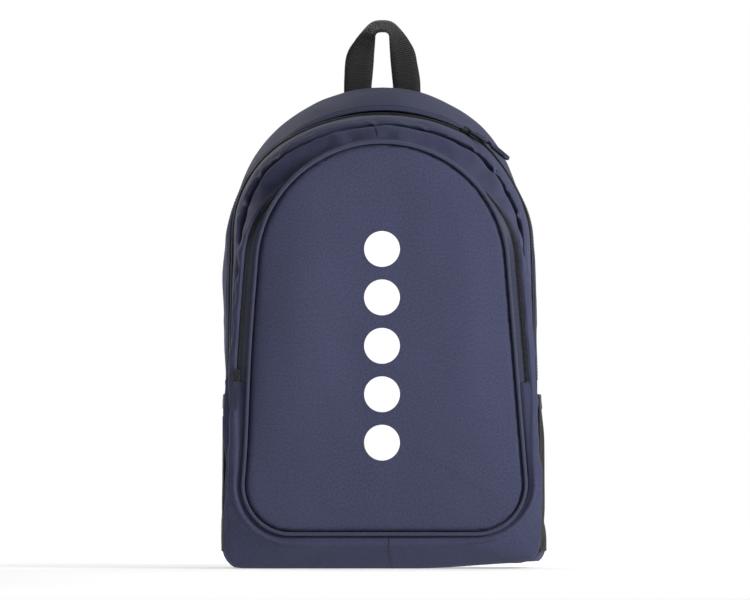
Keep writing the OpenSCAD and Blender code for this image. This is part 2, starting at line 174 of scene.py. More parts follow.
# ---------------------------------------------------------------- meshes
def make(name, verts, faces, material, uvs=None, smooth_shade=True):
    mesh = bpy.data.meshes.new(name)
    mesh.from_pydata([tuple(v) for v in np.asarray(verts, float) * MM], [],
        [tuple(int(i) for i in f) for f in faces])
    if uvs is not None:
        layer = mesh.uv_layers.new(name="cloth")
        layer.data.foreach_set("uv", (np.asarray(uvs, float) * MM).ravel())
    mesh.polygons.foreach_set("use_smooth", [smooth_shade] * len(mesh.polygons))
    mesh.materials.append(material)
    obj = bpy.data.objects.new(name, mesh)
    bpy.context.scene.collection.objects.link(obj)
    return obj


def grid(name, p, material, closed=False, flip=False, keep=None):
    """A mesh over rows of points, with its lengths in mm as UVs."""
    r, n = p.shape[:2]
    cols = n if closed else n - 1
    du = np.linalg.norm(np.diff(np.concatenate([p, p[:, :1]], 1), axis=1), axis=2).mean(0)
    u = np.concatenate([[0], np.cumsum(du)])
    dv = np.linalg.norm(np.diff(p, axis=0), axis=2).mean(1)
    v = np.concatenate([[0], np.cumsum(dv)])
    faces, uvs = [], []
    for i in range(r - 1):
        for j in range(cols):
            if keep is not None and not keep[i, j]:
                continue
            j1 = (j + 1) % n
            quad = [(i * n + j, u[j], v[i]), (i * n + j1, u[j + 1], v[i]), ((i + 1) * n + j1, u[j + 1],
                v[i + 1]), ((i + 1) * n + j, u[j], v[i + 1])]
            if flip:
                quad.reverse()
            faces.append([q[0] for q in quad])
            uvs += [q[1:] for q in quad]
    return make(name, p.reshape(-1, 3), faces, material, uvs)


def bake(obj):
    """Applies the modifiers, so the mesh is final."""
    dg = bpy.context.evaluated_depsgraph_get()
    old = obj.data
    obj.data = bpy.data.meshes.new_from_object(obj.evaluated_get(dg), preserve_all_data_layers=True,
        depsgraph=dg)
    obj.modifiers.clear()
    bpy.data.meshes.remove(old)
    return obj


def thick(obj, t, lining=None, offset=-1.0):
    m = obj.modifiers.new("thickness", "SOLIDIFY")
    m.thickness, m.offset = t * MM, offset
    if lining:
        obj.data.materials.append(lining)
        m.material_offset = 1
    bake(obj)
    obj.data.set_sharp_from_angle(angle=math.radians(40))
    return obj


def cut(obj, z, above):
    """Keeps the part of a mesh above or below height z."""
    bm = bmesh.new()
    bm.from_mesh(obj.data)
    bmesh.ops.bisect_plane(
        bm, geom=bm.verts[:] + bm.edges[:] + bm.faces[:], dist=1e-6, plane_co=(0, 0, z * MM), plane_no=(0, 0,
            1),
        clear_inner=above, clear_outer=not above,
    )
    bm.to_mesh(obj.data)
    bm.free()
    return obj


def copy_of(obj, name):
    new = obj.copy()
    new.data = obj.data.copy()
    new.name = name
    bpy.context.scene.collection.objects.link(new)
    return new


def mirrored(obj, name):
    new = copy_of(obj, name)
    new.data.transform(Matrix.Scale(-1, 4, (1, 0, 0)))
    new.data.flip_normals()
    return new


def move_points(obj, fn):
    co = np.array([v.co for v in obj.data.vertices]) / MM
    co = fn(co)
    obj.data.vertices.foreach_set("co", (co * MM).ravel())
    obj.data.update()


def inside(points, poly):
    """Which 2-D points are inside a closed polygon."""
    x, y = points[:, 0], points[:, 1]
    hit = np.zeros(len(points), bool)
    for (x0, y0), (x1, y1) in zip(poly, np.roll(poly, -1, 0)):
        with np.errstate(divide="ignore", invalid="ignore"):
            crosses = ((y0 > y) != (y1 > y)) & (x < (x1 - x0) * (y - y0) / (y1 - y0) + x0)
        hit ^= crosses
    return hit


def edge_distance(points, poly):
    best = np.full(len(points), 1e9)
    for a, b in zip(poly, np.roll(poly, -1, 0)):
        ab = b - a
        k = np.clip(((points - a) @ ab) / max(ab @ ab, 1e-9), 0, 1)
        best = np.minimum(best, np.linalg.norm(points - (a + k[:, None] * ab), axis=1))
    return best


def inflated(n, faces, fixed):
    """The height, 0..1, of a film held at its edge and pushed evenly from behind."""
    tri = np.array([list(f)[:3] for f in faces])
    pairs = np.concatenate([tri[:, [0, 1]], tri[:, [1, 2]], tri[:, [2, 0]]])
    pairs = np.unique(np.sort(pairs, 1), axis=0)
    a, b = np.concatenate([pairs, pairs[:, ::-1]]).T
    degree = np.bincount(a, minlength=n)
    free = ~fixed

    def laplace(h):
        return (degree * h - np.bincount(a, h[b], n)) * free

    h = np.zeros(n)
    r = free.astype(float)
    q, rr = r.copy(), r @ r
    for _ in range(400):
        step = laplace(q)
        k = rr / (q @ step)
        h, r = h + k * q, r - k * step
        new = r @ r
        if new < 1e-10:
            break
        q, rr = r + new / rr * q, new
    return h / h.max()


def sheet_fill(name, poly, pitch, height, material, front=True, puffed=False):
    """A sheet inside a closed outline, poly in (x, z); height(x, z, distance from the edge) gives y."""
    poly = np.asarray(poly, float)
    lo, hi = poly.min(0), poly.max(0)
    pts = []
    for k, z in enumerate(np.arange(lo[1] + pitch / 2, hi[1], pitch * 0.866)):
        for x in np.arange(lo[0] + (k % 2) * pitch / 2, hi[0], pitch):
            pts.append((x, z))
    pts = np.array(pts)
    pts = pts[inside(pts, poly)]
    pts = pts[edge_distance(pts, poly) > pitch * 0.45]
    every = np.concatenate([poly, pts])
    n = len(poly)
    out = delaunay_2d_cdt([Vector(p) for p in every], [(i, (i + 1) % n) for i in range(n)], [], 1, 1e-5)
    xz = np.array([tuple(v) for v in out[0]])
    e = edge_distance(xz, poly)
    puff = inflated(len(xz), out[2], e < 1e-3) if puffed else None
    y = height(xz[:, 0], xz[:, 1], e, puff) if puffed else height(xz[:, 0], xz[:, 1], e)
    verts = np.stack([xz[:, 0], y, xz[:, 1]], -1)
    faces = []
    for f in out[2]:
        a, b, c = (xz[i] for i in f[:3])
        up = (b[0] - a[0]) * (c[1] - a[1]) - (b[1] - a[1]) * (c[0] - a[0]) > 0
        faces.append(list(f) if up == front else list(f)[::-1])
    uvs = [xz[i] for f in faces for i in f]
    return make(name, verts, faces, material, uvs)


def frames(path, across):
    """Points, unit tangents, unit across vectors and unit outward vectors of a path."""
    path, across = np.asarray(path, float), np.asarray(across, float)
    tan = np.gradient(path, axis=0)
    tan /= np.linalg.norm(tan, axis=1, keepdims=True)
    across = across - (across * tan).sum(1, keepdims=True) * tan
    across /= np.linalg.norm(across, axis=1, keepdims=True)
    return path, tan, across, np.cross(tan, across)


def resample(path, across, pitch, offset=0.0):
    s = np.concatenate([[0], np.cumsum(np.linalg.norm(np.diff(path, axis=0), axis=1))])
    at = np.arange(pitch / 2 + offset, s[-1] - pitch / 4, pitch)
    return tuple(np.stack([np.interp(at, s, a[:, i]) for i in range(3)], -1) for a in (path, across))


def instances(name, template, path, across, material):
    """Copies of a small mesh along a path. The template's axes are along, across and out."""
    tv, tf = template
    p, t, c, o = frames(path, across)
    v = p[:, None] + tv[None, :, 0:1] * t[:, None] + tv[None, :, 1:2] * c[:, None] + tv[None, :, 2:3] * o[:,
        None]
    n = len(tv)
    faces = [[i + k * n for i in f] for k in range(len(p)) for f in tf]
    return make(name, v.reshape(-1, 3), faces, material)


def bar(ends, ring, sides=6):
    """A small rounded bar: ends is [(position, scale)], ring its (along, out) half sizes."""
    tv, tf = [], []
    for pos, k in ends:
        for i in range(sides):
            a = 2 * math.pi * (i + 0.5) / sides
            tv.append((ring[0] * k * math.cos(a), pos, ring[1] * k * math.sin(a)))
    for r in range(len(ends) - 1):
        for i in range(sides):
            j = (i + 1) % sides
            tf.append((r * sides + i, (r + 1) * sides + i, (r + 1) * sides + j, r * sides + j))
    tf.append(tuple(range(sides)))
    tf.append(tuple((len(ends) - 1) * sides + i for i in reversed(range(sides))))
    return np.array(tv), tf


def stitch_template():
    tv, tf = bar([(-1.25, 0.25), (-0.9, 1), (0.9, 1), (1.25, 0.25)], (0.33, 0.3), 5)
    return tv[:, [1, 0, 2]] * (1, 1, -1), tf


def stitches(name, path, across, material, pitch=3.2):
    p, a = resample(np.asarray(path, float), np.asarray(across, float), pitch)
    return instances(name, stitch_template(), p, a, material)


def sweep(name, path, across, section, material, closed=False):
    """A closed section, in (across, out), carried along a path; open ends are capped."""
    p, t, c, o = frames(path, across)
    section = np.asarray(section, float)
    if section.ndim == 2:
        section = np.broadcast_to(section, (len(p), *section.shape))
    v = p[:, None] + section[..., 0:1] * c[:, None] + section[..., 1:2] * o[:, None]
    n, m = v.shape[:2]
    s = np.concatenate([[0], np.cumsum(np.linalg.norm(np.diff(p, axis=0), axis=1))])
    w = np.concatenate([[0], np.cumsum(np.linalg.norm(np.diff(np.concatenate([section[0], section[0][:1]]),
        axis=0), axis=1))])
    faces, uvs = [], []
    for i in range(n - 1):
        for j in range(m):
            j1 = (j + 1) % m
            faces.append([i * m + j, i * m + j1, (i + 1) * m + j1, (i + 1) * m + j])
            uvs += [(s[i], w[j]), (s[i], w[j + 1]), (s[i + 1], w[j + 1]), (s[i + 1], w[j])]
    if not closed:
        faces += [list(range(m))[::-1], [(n - 1) * m + j for j in range(m)]]
        uvs += [(0, w[j]) for j in range(m)][::-1] + [(s[-1], w[j]) for j in range(m)]
    return make(name, v.reshape(-1, 3), faces, material, uvs)


def round_section(r, sides=12, squash=1.0):
    a = np.linspace(0, 2 * math.pi, sides, endpoint=False)
    return np.stack([r * np.cos(a), r * squash * np.sin(a)], -1)


def band_section(w, t, crown=0.0):
    """A flat band's section, w wide and t thick, with rounded edges."""
    x = np.array([-0.5, -0.47, -0.25, 0, 0.25, 0.47, 0.5]) * w
    up = np.array([0, 0.5, 0.5, 0.5, 0.5, 0.5, 0]) * t
    c = crown * (1 - (2 * x / w) ** 2)
    top = np.stack([x, up + c], -1)
    low = np.stack([x, -up + c], -1)[1:-1]
    return np.concatenate([top, low[::-1]])


# ---------------------------------------------------------------- materials
def new_material(name):
    m = bpy.data.materials.new(name)
    m.use_nodes = True
    m.node_tree.nodes.clear()
    return m


class Tree:
    """Short names for building node trees."""

    def __init__(self, name):
        self.m = new_material(name)
        self.t = self.m.node_tree
        self.out = self.add("ShaderNodeOutputMaterial")
        self.b = self.add("ShaderNodeBsdfPrincipled")
        self.link(self.b.outputs[0], self.out.inputs[0])

    def add(self, kind, **props):
        n = self.t.nodes.new(kind)
        for k, v in props.items():
            setattr(n, k, v)
        return n

    def link(self, a, b):
        self.t.links.new(a, b)

    def put(self, socket, value):
        if isinstance(value, bpy.types.NodeSocket):
            self.link(value, socket)
        elif isinstance(value, (tuple, list)) and len(value) == 3 and socket.type == "RGBA":
            socket.default_value = (*value, 1)
        else:
            socket.default_value = value

    def math(self, op, a, b=0.0, c=0.0):
        n = self.add("ShaderNodeMath", operation=op)
        for s, v in zip(n.inputs, (a, b, c)):
            self.put(s, v)
        return n.outputs[0]

    def noise(self, vector, scale, detail=2.0, rough=0.5):
        n = self.add("ShaderNodeTexNoise")
        self.put(n.inputs["Vector"], vector)
        self.put(n.inputs["Scale"], scale)
        self.put(n.inputs["Detail"], detail)
        self.put(n.inputs["Roughness"], rough)
        return n.outputs["Fac"]

    def ramp(self, fac, stops):
        n = self.add("ShaderNodeValToRGB")
        self.put(n.inputs[0], fac)
        e = n.color_ramp.elements
        while len(e) < len(stops):
            e.new(0.5)
        for el, (pos, col) in zip(e, stops):
            el.position, el.color = pos, (*col, 1)
        return n.outputs[0]

    def mixc(self, fac, a, b, mode="MIX"):
        n = self.add("ShaderNodeMix", data_type="RGBA", blend_type=mode)
        self.put(n.inputs[0], fac)
        self.put(n.inputs[6], a)
        self.put(n.inputs[7], b)
        return n.outputs[2]

    def bump(self, height, distance, strength=1.0, normal=None):
        n = self.add("ShaderNodeBump")
        self.put(n.inputs["Height"], height)
        self.put(n.inputs["Distance"], distance)
        self.put(n.inputs["Strength"], strength)
        if normal is not None:
            self.link(normal, n.inputs["Normal"])
        return n.outputs[0]

    def coords(self, kind):
        if kind == "uv":
            return self.add("ShaderNodeUVMap", uv_map="cloth").outputs[0]
        return self.add("ShaderNodeTexCoord").outputs["Object"]

    def split(self, vector):
        n = self.add("ShaderNodeSeparateXYZ")
        self.link(vector, n.inputs[0])
        return n.outputs

    def set(self, **values):
        for k, v in values.items():
            self.put(self.b.inputs[k.replace("_", " ")], v)
        return self.m


def sine(tr, x, period):
    return tr.math("SINE", tr.math("MULTIPLY", x, 2 * math.pi / period))


def cloth(name, colour, period=0.0011, uv=True, rough=0.75, sheen=0.05, depth=0.00009, mottle=0.2, spec=0.2):
    """Plain-woven polyester: threads over and under, small speckles, and slow tone changes. The colour is a
    little lighter where the threads rise and darker where they dip: a faint painted highlight and painted
    shade.
    """
    tr = Tree(name)
    vec = tr.coords("uv" if uv else "object")
    x, y, z = tr.split(vec)
    if not uv:
        x, y = tr.math("ADD", x, tr.math("MULTIPLY", y, 0.7)), z
    weave = tr.math("MULTIPLY", sine(tr, x, period), sine(tr, y, period))
    fine = tr.noise(vec, 1400.0, 1.0)
    speck = tr.noise(vec, 520.0, 2.0, 0.65)
    slow = tr.noise(vec, 14.0, 2.0)
    # the weave term lightens the colour on the raised threads and darkens it between them: faint painted
    # highlight and painted shade
    tone = tr.math("MULTIPLY_ADD", weave, 0.05, 0.5)
    tone = tr.math("ADD", tone, tr.math("MULTIPLY", tr.math("SUBTRACT", speck, 0.5), 1.8))
    tone = tr.math("ADD", tone, tr.math("MULTIPLY", tr.math("SUBTRACT", slow, 0.5), 0.35))
    dark = tuple(c * (1 - mottle) for c in colour)
    light = tuple(c * (1 + mottle) for c in colour)
    base = tr.ramp(tone, [(0.15, dark), (0.85, light)])
    height = tr.math("ADD", weave, tr.math("MULTIPLY", fine, 0.8))
    n = tr.bump(height, depth, 0.8)
    tr.set(Base_Color=base, Normal=n, Roughness=rough)
    tr.b.inputs["Specular IOR Level"].default_value = spec
    tr.b.inputs["Sheen Weight"].default_value = sheen
    tr.b.inputs["Sheen Roughness"].default_value = 0.45
    tr.b.inputs["Sheen Tint"].default_value = (0.75, 0.8, 1, 1)
    return tr.m


def ribbed(name, colour, period=0.0019, along=0, rough=0.6, depth=0.00025, uv=True):
    """Webbing and zip tape: ribs across the length, and threads along it. The colour is darker in the rib
    valleys and lighter on the crests: painted shade and painted highlight.
    """
    tr = Tree(name)
    vec = tr.coords("uv" if uv else "object")
    parts = tr.split(vec)
    rib = sine(tr, parts[along], period)
    thread = sine(tr, parts[1 - along] if along < 2 else parts[0], 0.0009)
    fine = tr.noise(vec, 1500.0, 1.0)
    h = tr.math("MULTIPLY_ADD", rib, 0.5, 0.5)
    # painted shade in the rib valleys and painted highlight on the rib crests, taken from the same height as
    # the bump
    base = tr.ramp(tr.math("ADD", h, tr.math("MULTIPLY", tr.math("SUBTRACT", fine, 0.5), 0.5)),
                   [(0.1, tuple(c * 0.45 for c in colour)), (0.8, tuple(c * 1.35 for c in colour))])
    height = tr.math("ADD", h, tr.math("MULTIPLY", thread, 0.12))
    tr.set(Base_Color=base, Normal=tr.bump(height, depth), Roughness=rough)
    tr.b.inputs["Specular IOR Level"].default_value = 0.35
    tr.b.inputs["Sheen Weight"].default_value = 0.08
    return tr.m


def moulded(name, colour, rough=0.45, grain=900.0, depth=0.00003, metallic=0.0, coat=0.0, vary=0.15,
        spec=0.5):
    tr = Tree(name)
    vec = tr.coords("object")
    n1 = tr.noise(vec, grain, 3.0)
    n2 = tr.noise(vec, 60.0, 2.0)
    base = tr.ramp(n2, [(0.3, tuple(c * (1 - vary) for c in colour)), (0.7,
        tuple(c * (1 + vary) for c in colour))])
    r = tr.math("MULTIPLY_ADD", n1, 0.2, rough - 0.1)
    tr.set(Base_Color=base, Normal=tr.bump(n1, depth), Roughness=r, Metallic=metallic)
    tr.b.inputs["Coat Weight"].default_value = coat
    tr.b.inputs["Specular IOR Level"].default_value = spec
    return tr.m


def netting(name, colour):
    """Knitted pocket mesh: a thin cloth with round holes in rows, open to what is behind it."""
    tr = Tree(name)
    vec = tr.coords("uv")
    x, y, _ = tr.split(vec)
    p = 0.0026
    row = tr.math("FLOOR", tr.math("DIVIDE", y, p * 0.866))
    shift = tr.math("MULTIPLY", tr.math("MODULO", tr.math("ADD", row, 1000.0), 2.0), 0.5)
    fx = tr.math("SUBTRACT", tr.math("FRACT", tr.math("ADD", tr.math("DIVIDE", x, p), shift)), 0.5)
    fy = tr.math("SUBTRACT", tr.math("FRACT", tr.math("DIVIDE", y, p * 0.866)), 0.5)
    r = tr.math("SQRT", tr.math("ADD", tr.math("MULTIPLY", fx, fx), tr.math("MULTIPLY",
        tr.math("MULTIPLY", fy, fy), 0.75)))
    solid = tr.ramp(r, [(0.20, (0, 0, 0)), (0.26, (1, 1, 1))])
    knit = tr.math("MULTIPLY", sine(tr, x, p / 3), sine(tr, y, p / 4))
    base = tr.ramp(tr.math("MULTIPLY_ADD", knit, 0.5, 0.5), [(0, tuple(c * 0.6 for c in colour)),
        (1, tuple(c * 1.5 for c in colour))])
    tr.set(Base_Color=base, Normal=tr.bump(tr.math("SUBTRACT", r, tr.math("MULTIPLY", knit, 0.1)), 0.0005),
        Roughness=0.7, Alpha=solid)
    return tr.m


def air_mesh(name, colour):
    """Padded spacer mesh on the back: small hexagonal dimples, with painted shade in the dimples and painted
    highlight on the rims between them.
    """
    tr = Tree(name)
    vec = tr.coords("object")
    v = tr.add("ShaderNodeTexVoronoi", feature="F1", voronoi_dimensions="3D")
    tr.put(v.inputs["Vector"], vec)
    v.inputs["Scale"].default_value = 330.0
    v.inputs["Randomness"].default_value = 0.25
    d = v.outputs["Distance"]
    # painted shade: darker in the dimple hollows; painted highlight: lighter on the rims between them
    base = tr.ramp(d, [(0.1, tuple(c * 0.35 for c in colour)), (0.55, tuple(c * 1.3 for c in colour))])
    tr.set(Base_Color=base, Normal=tr.bump(d, 0.0009), Roughness=0.8)
    tr.b.inputs["Sheen Weight"].default_value = 0.15
    return tr.m


NAVY = (0.046, 0.050, 0.098)
navy = cloth("navy_oxford", NAVY)
navy_object = cloth("navy_oxford_solid", NAVY, uv=False)
lining = cloth("dark_lining", (0.020, 0.021, 0.028), period=0.0007, rough=0.5, depth=0.00004, mottle=0.1)
piping_cloth = cloth("piping_cord_cover", (0.044, 0.048, 0.088), period=0.0009, rough=0.55, sheen=0.2,
    mottle=0.1)
thread = moulded("thread", (0.034, 0.037, 0.066), rough=0.6)
black_thread = moulded("black_thread", (0.02, 0.02, 0.022), rough=0.6)
tape_cloth = ribbed("zip_tape", (0.018, 0.019, 0.027), period=0.0014, along=0, depth=0.00012)
pocket_tape = ribbed("pocket_zip_tape", (0.040, 0.045, 0.080), period=0.0012, along=0, depth=0.0001)
coil_nylon = moulded("coil_nylon", (0.013, 0.014, 0.018), rough=0.38)
webbing = ribbed("webbing", (0.012, 0.012, 0.0115), period=0.0020, along=0, depth=0.0004)
binding = ribbed("binding_tape", (0.009, 0.009, 0.010), period=0.0013, along=0, depth=0.00015)
binding_solid = ribbed("binding_tape_solid", (0.009, 0.009, 0.010), period=0.0013, along=2, depth=0.00015,
    uv=False)
mesh_knit = netting("pocket_netting", (0.008, 0.008, 0.009))
pad_mesh = air_mesh("air_mesh", (0.026, 0.027, 0.032))
label_cloth = ribbed("label_tape", (0.050, 0.062, 0.130), period=0.0009, along=1, depth=0.0001)
print_film = moulded("printed_film", (0.90, 0.90, 0.90), rough=0.55, grain=2500.0, depth=0.00002, vary=0.01)
slider_paint = moulded("slider_paint", (0.009, 0.010, 0.016), rough=0.32, spec=0.35)
link_paint = moulded("link_paint", (0.014, 0.015, 0.021), rough=0.3, spec=0.5)
grip_rubber = moulded("grip_moulding", (0.022, 0.025, 0.050), rough=0.55, depth=0.00004, spec=0.25)
buckle_plastic = moulded("buckle_plastic", (0.014, 0.014, 0.015), rough=0.34, depth=0.00002)


def fold(obj):
    """Cloth that is sewn to the still part of the bag below the main zip, with its flap above; this only
    bakes its transform into the mesh.
    """
    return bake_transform(obj)


def pocket_fold(obj):
    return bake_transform(obj)


def done(obj, nodes=(), body=None, bend=None):
    if bend:
        bend(obj)
    else:
        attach(obj, body)
    if nodes:
        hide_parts(*nodes)
    return obj


# ---------------------------------------------------------------- the bag's shell
N = 520
T = ZIP.even(N + 1)[:-1]
U = np.abs(T)
Z_OF = ZIP.at(T)[1]
upper = smooth(Z_OF, 165, 190)          # 1 above the ends of the main zip
low = smooth(U, 0.72, 0.82)             # 1 on the flat bottom


def slump(p):
    """The right shoulder of the filled bag hangs in a little."""
    p = np.array(p, float)
    p[..., 0] -= 5.0 * bell(p[..., 2], 370, 36) * smooth(p[..., 0], 60, 120)
    return p


def lay_down(p, floor=0.25):
    """Nothing goes below the ground; the soft base curls up a little at the right."""
    p = slump(p)
    z = np.maximum(p[..., 2], floor)
    p[..., 2] = z + 6.0 * smooth(p[..., 0], 30, 152) * np.clip(1 - z / 70, 0, 1)
    return p


# Rear shell: from the main zip to the back seam. It bulges unevenly, as a filled bag does.
z_key = [30, 60, 100, 165, 208, 260, 303, 335, 360, 379, 397, 417, 436, 450]
swell = np.where(
    T < 0,
    np.interp(Z_OF, z_key, [0, -1, -2, 0.5, 0, 3, 4, 2, 0, 1, 4.5, 6, 6, 2]),
    np.interp(Z_OF, z_key, [4.5, 1, -1, -1, -2.5, -1, -2, -3, -3.5, -2.5, 1, 4.5, 6.5, 2]),
)
S = []
for y, d, k_s in ((11.6, 1.2, 0.1), (14.6, 2.1, 0.3), (26, 2.4, 0.7), (44, 2.4, 1), (62, 1.8, 0.95), (73, 1.0,
        0.7), (77, 0.4, 0.45), (79.5, -1.2, 0.1)):
    k = (y - 8) / 70
    S.append(mix(ZIP.ring(T, d + swell * k_s, y), BACK.ring(T, d + swell * k_s, y), min(k, 1)))
P = rows(S, [2, 5, 6, 6, 5, 3, 2])
nn = grid_normals(P, True)
amp = np.sin(np.linspace(0, math.pi, len(P)))[:, None] * (1 - low)
wr = nz(P * (1, 0.45, 1), 42, 1.3) * 2.6 + nz(P * (1, 0.8, 1), 17, 5.2) * 0.7
P = lay_down(P + nn * (wr * amp)[..., None])
above = np.where(Z_OF > 180)[0]
seam_rear = P[3, above] + 0.25 * nn[3, above]
shell = thick(grid("shell_rear_cloth", P, navy, closed=True), 1.4, lining)
done(shell, ("rear_gusset", "side_panel_left", "side_panel_right", "base_panel"), body="pack")

# Front shell: from the main zip over the rolled seam in front of it
edge_y = 11.6 - 7.0 * upper
crest = np.interp(U, [0, 0.12, 0.2, 0.3, 0.5, 0.66, 0.8], [-0.9, -0.8, -0.7, 0.0, 0.8, 0.8, 0.0])
bag_out = np.interp(Z_OF, [96, 120, 150, 178, 190], [0, 3.2, 5.2, 4.8, 0])
crest = crest + np.where(T < 0, bag_out, 0)
hang = smooth(Z_OF, 100, 182)           # the roll overhangs the pocket beside its zip
bumps = nzt(T * 640, 23, 7.7) * 1.4 + nzt(T * 640, 9, 2.2) * 1.5
for place, depth in ((-0.29, 2.6), (-0.235, 2.2), (-0.19, 1.5), (-0.012, 2.8), (0.075, 1.6), (0.17, 1.8),
        (0.225, 2.4), (0.262, 1.8), (0.31, 2.6), (-0.36, 2.2), (0.41, 1.6)):
    bumps -= 1.5 * depth * bell(T, place, 0.005)
bumps *= (1 - low) * np.interp(U, [0, 0.5, 0.7], [0.8, 1, 0.3])
S = [
    ZIP.ring(T, 1.2 - 4.0 * upper, edge_y),
    ZIP.ring(T, 0.9 - 2.8 * upper, edge_y - 3),
    mix(ZIP.ring(T, 0.8 - 2.2 * upper, -8), RIDGE.ring(T, 0.8, -8), 0.35),
    mix(ZIP.ring(T, 0.5, -22), RIDGE.ring(T, 0.5, -22), 0.7),
    RIDGE.ring(T, (crest * 0.3 - 1.2 + bumps * 0.3) * (1 - low), -32.0),
    RIDGE.ring(T, (crest + 0.8 + bumps) * (1 - low), -37.5 + bumps * 0.6),
    RIDGE.ring(T, (crest * 0.6 + bumps * 0.9 - 1.6) * (1 - low) - low * 0.2, -41.4 + bumps * 0.6),
    RIDGE.ring(T, (mix(-7.2, -3.8, hang) + bumps * 0.8) * (1 - low) - low, -41.6 + 0.3 * hang),
    RIDGE.ring(T, mix(-10, -7.4, hang) + low * 7, -38.5 + 1.5 * hang),
]
P = rows(S, [2, 4, 5, 5, 4, 5, 4, 3])
nn = grid_normals(P, True)
w = np.interp(np.arange(len(P)), [0, 6, 14, 21, 26, len(P) - 1], [0, 0.6, 1, 0.7, 0.3, 0])[:,
    None] * (1 - low)
wr = nz(P * (1, 0.6, 1), 26, 8.8) * 1.5 + nz(P, 11, 4.1) * 0.5
P = lay_down(P + nn * (wr * w)[..., None])
seam_front = P[3, above] - 0.25 * nn[3, above]
front_shell = thick(grid("shell_front_cloth", P, navy, closed=True, flip=True), 1.2, lining)
done(front_shell, ("flap_gusset", "gusset_fold"), bend=fold)

# Pocket gusset: from behind the rolled seam to the front, with the pocket zip let into it
TF = FACE.even(N + 1, 12)[:-1]
UF = np.abs(TF)
ZF = FACE.at(TF, 12)[1]
lowf = smooth(UF, 0.70, 0.80)
lam = smooth(ZF, 100, 182)              # 1 where the zip is
tilt = smooth(ZF, 292, 388)             # the zip turns to face up over the top


def settle(p):
    """The filled pocket sags a little to one side at its lower left."""
    p = np.array(p, float)
    x, y, z = p[..., 0], p[..., 1], p[..., 2]
    p[..., 0] = x + 4.6 * smooth(-y, 46, 72) * smooth(-x, 40, 125) * bell(z, 92, 88)
    return p


def zip_plane(a, h, t, k, twist=0.0):
    """A point a mm out from the piping in the zip's plane and h mm in front; k is the zip's turn."""
    phi = np.radians(92) * k
    d = 6 - 4.6 * k + a * np.cos(phi) + h * np.sin(phi)
    y = -75.0 + a * np.sin(phi) - h * np.cos(phi) + twist
    return FACE.ring(t, d, y)


fold_side = nzt(TF * 640, 34, 12.4)
E = mix(FACE.ring(TF, 8.2, -78.2), zip_plane(8.1, 1.7 + 1.2 * tilt, TF, tilt), lam[:, None])
E2 = mix(FACE.ring(TF, 13.0, -79.6), zip_plane(11.2, 2.2 + 1.8 * tilt, TF, tilt), lam[:, None])
E3 = mix(FACE.ring(TF, 18.5, -74.3), mix(FACE.ring(TF, 21.0 - 1.5 * smooth(ZF, 255, 300), -70.5),
    FACE.ring(TF, 8.2, -59.0), tilt[:, None]), lam[:, None])
M_up = RIDGE.ring(TF, (-7.0 - 1.0 * tilt + 1.2 * fold_side) * (1 - lowf), -53)
side_out = np.where(TF < 0, np.interp(ZF, [96, 120, 150, 178, 190], [0, 2, 3, 3, 0]), 0)
M_low = RIDGE.ring(TF, (1.2 + fold_side) * (1 - lowf) - 2.6 * lowf + side_out, -59)
M = mix(M_low, M_up, lam[:, None])
M[:, 1] = mix(-59, -52, lam)
groove = RIDGE.ring(TF, (-4.8 - 7.2 * lam) * (1 - lowf) - lowf * 0.6, -41.8)
inner = RIDGE.ring(TF, -9.6 - 4.4 * lam + 8 * lowf, -38.0)
S = [inner, groove, RIDGE.ring(TF, (-2.4 - 4.8 * lam) * (1 - lowf), -46 - 1.0 * tilt), M, E3, E2, E]
S += [mix(E, FACE.ring(TF, 5.4, -77.0), 0.7), FACE.ring(TF, 4.0, -75.6)]
per = [3, 4, 5, 7, 5, 4, 3, 3]
P = rows(S, per)
edge_row = sum(per[:6])
nn = grid_normals(P, True)
i = np.arange(len(P))
w = np.interp(i, [0, 7, 12, 19, 24, 28, len(P) - 1], [0, 0.2, 0.8, 1, 0.35, 0, 0])[:, None]
wr = nz(P * (1, 0.4, 1), 17, 21.0) * 3.7 * (0.4 + 0.6 * lam) + nz(P * (1, 1, 0.8), 10, 9.9) * 0.6
pucker = np.sin(TF * 640 / 3.1 + 2 * nzt(TF * 640, 20, 6.0)) * 0.4
P = P - nn * ((wr * (1 - 0.5 * lowf) + pucker * bell(i, 8, 5)[:, None]) * w)[..., None]
# a slack crease outside the piping, round both lower corners
corner = bell(UF, 0.765, 0.05)
P -= nn * (corner * (1.9 * bell(i, 25.6, 1.7)[:, None] - 1.8 * bell(i, 22.4, 1.5)[:, None]))[..., None]
P = settle(lay_down(P))
gusset_rows = P
z_mid = 0.5 * (ZF + np.roll(ZF, -1))
keep = np.ones((len(P) - 1, N), bool)
keep[edge_row:, :] = (z_mid < 177)[None, :]
gusset = thick(grid("pocket_gusset_cloth", P, navy, closed=True, keep=keep, flip=True), 1.2, lining)
done(gusset, ("pocket_gusset_upper", "pocket_gusset_lower"), bend=fold)


# ---------------------------------------------------------------- front face
def face_poly(d):
    t = FACE.even(421, d)[:-1]
    x, z, _, _ = FACE.at(t, d)
    return np.stack([x, z], -1)


def face_y(x, z, e, puff):
    p = np.stack([x, np.zeros_like(x), z], -1)
    e = np.maximum(e, 0)
    crown = 5.6 * (1 - np.exp(-e / 1.5)) + 6.5 * puff + 0.03 * np.clip(x - 15, 0, 60) * smooth(e, 5, 40)
    crown += 9.5 * (1 - np.exp(-e / 18)) * smooth(-x, 20, 90) * bell(z, 225, 105)
    near = np.exp(-np.maximum(e - 2, 0) / 10)
    slow = nz(p, 95, 2.5) * 2.4 * smooth(e, 6, 50) + nz(p * (1.4, 1, 0.6), 38, 6.5) * 0.6 * smooth(e, 5, 30)
    pull = nz(p, 9, 3.5) * 0.35 * near
    crease = bell(x * 0.5 + z * 0.866, 118, 6) * bell(x, 70, 45) * 0.8 + bell(z - 0.35 * x, 60, 5) * bell(x,
        60, 35) * 0.7
    return -74.2 - crown - slow - pull - crease * smooth(e, 6, 20)


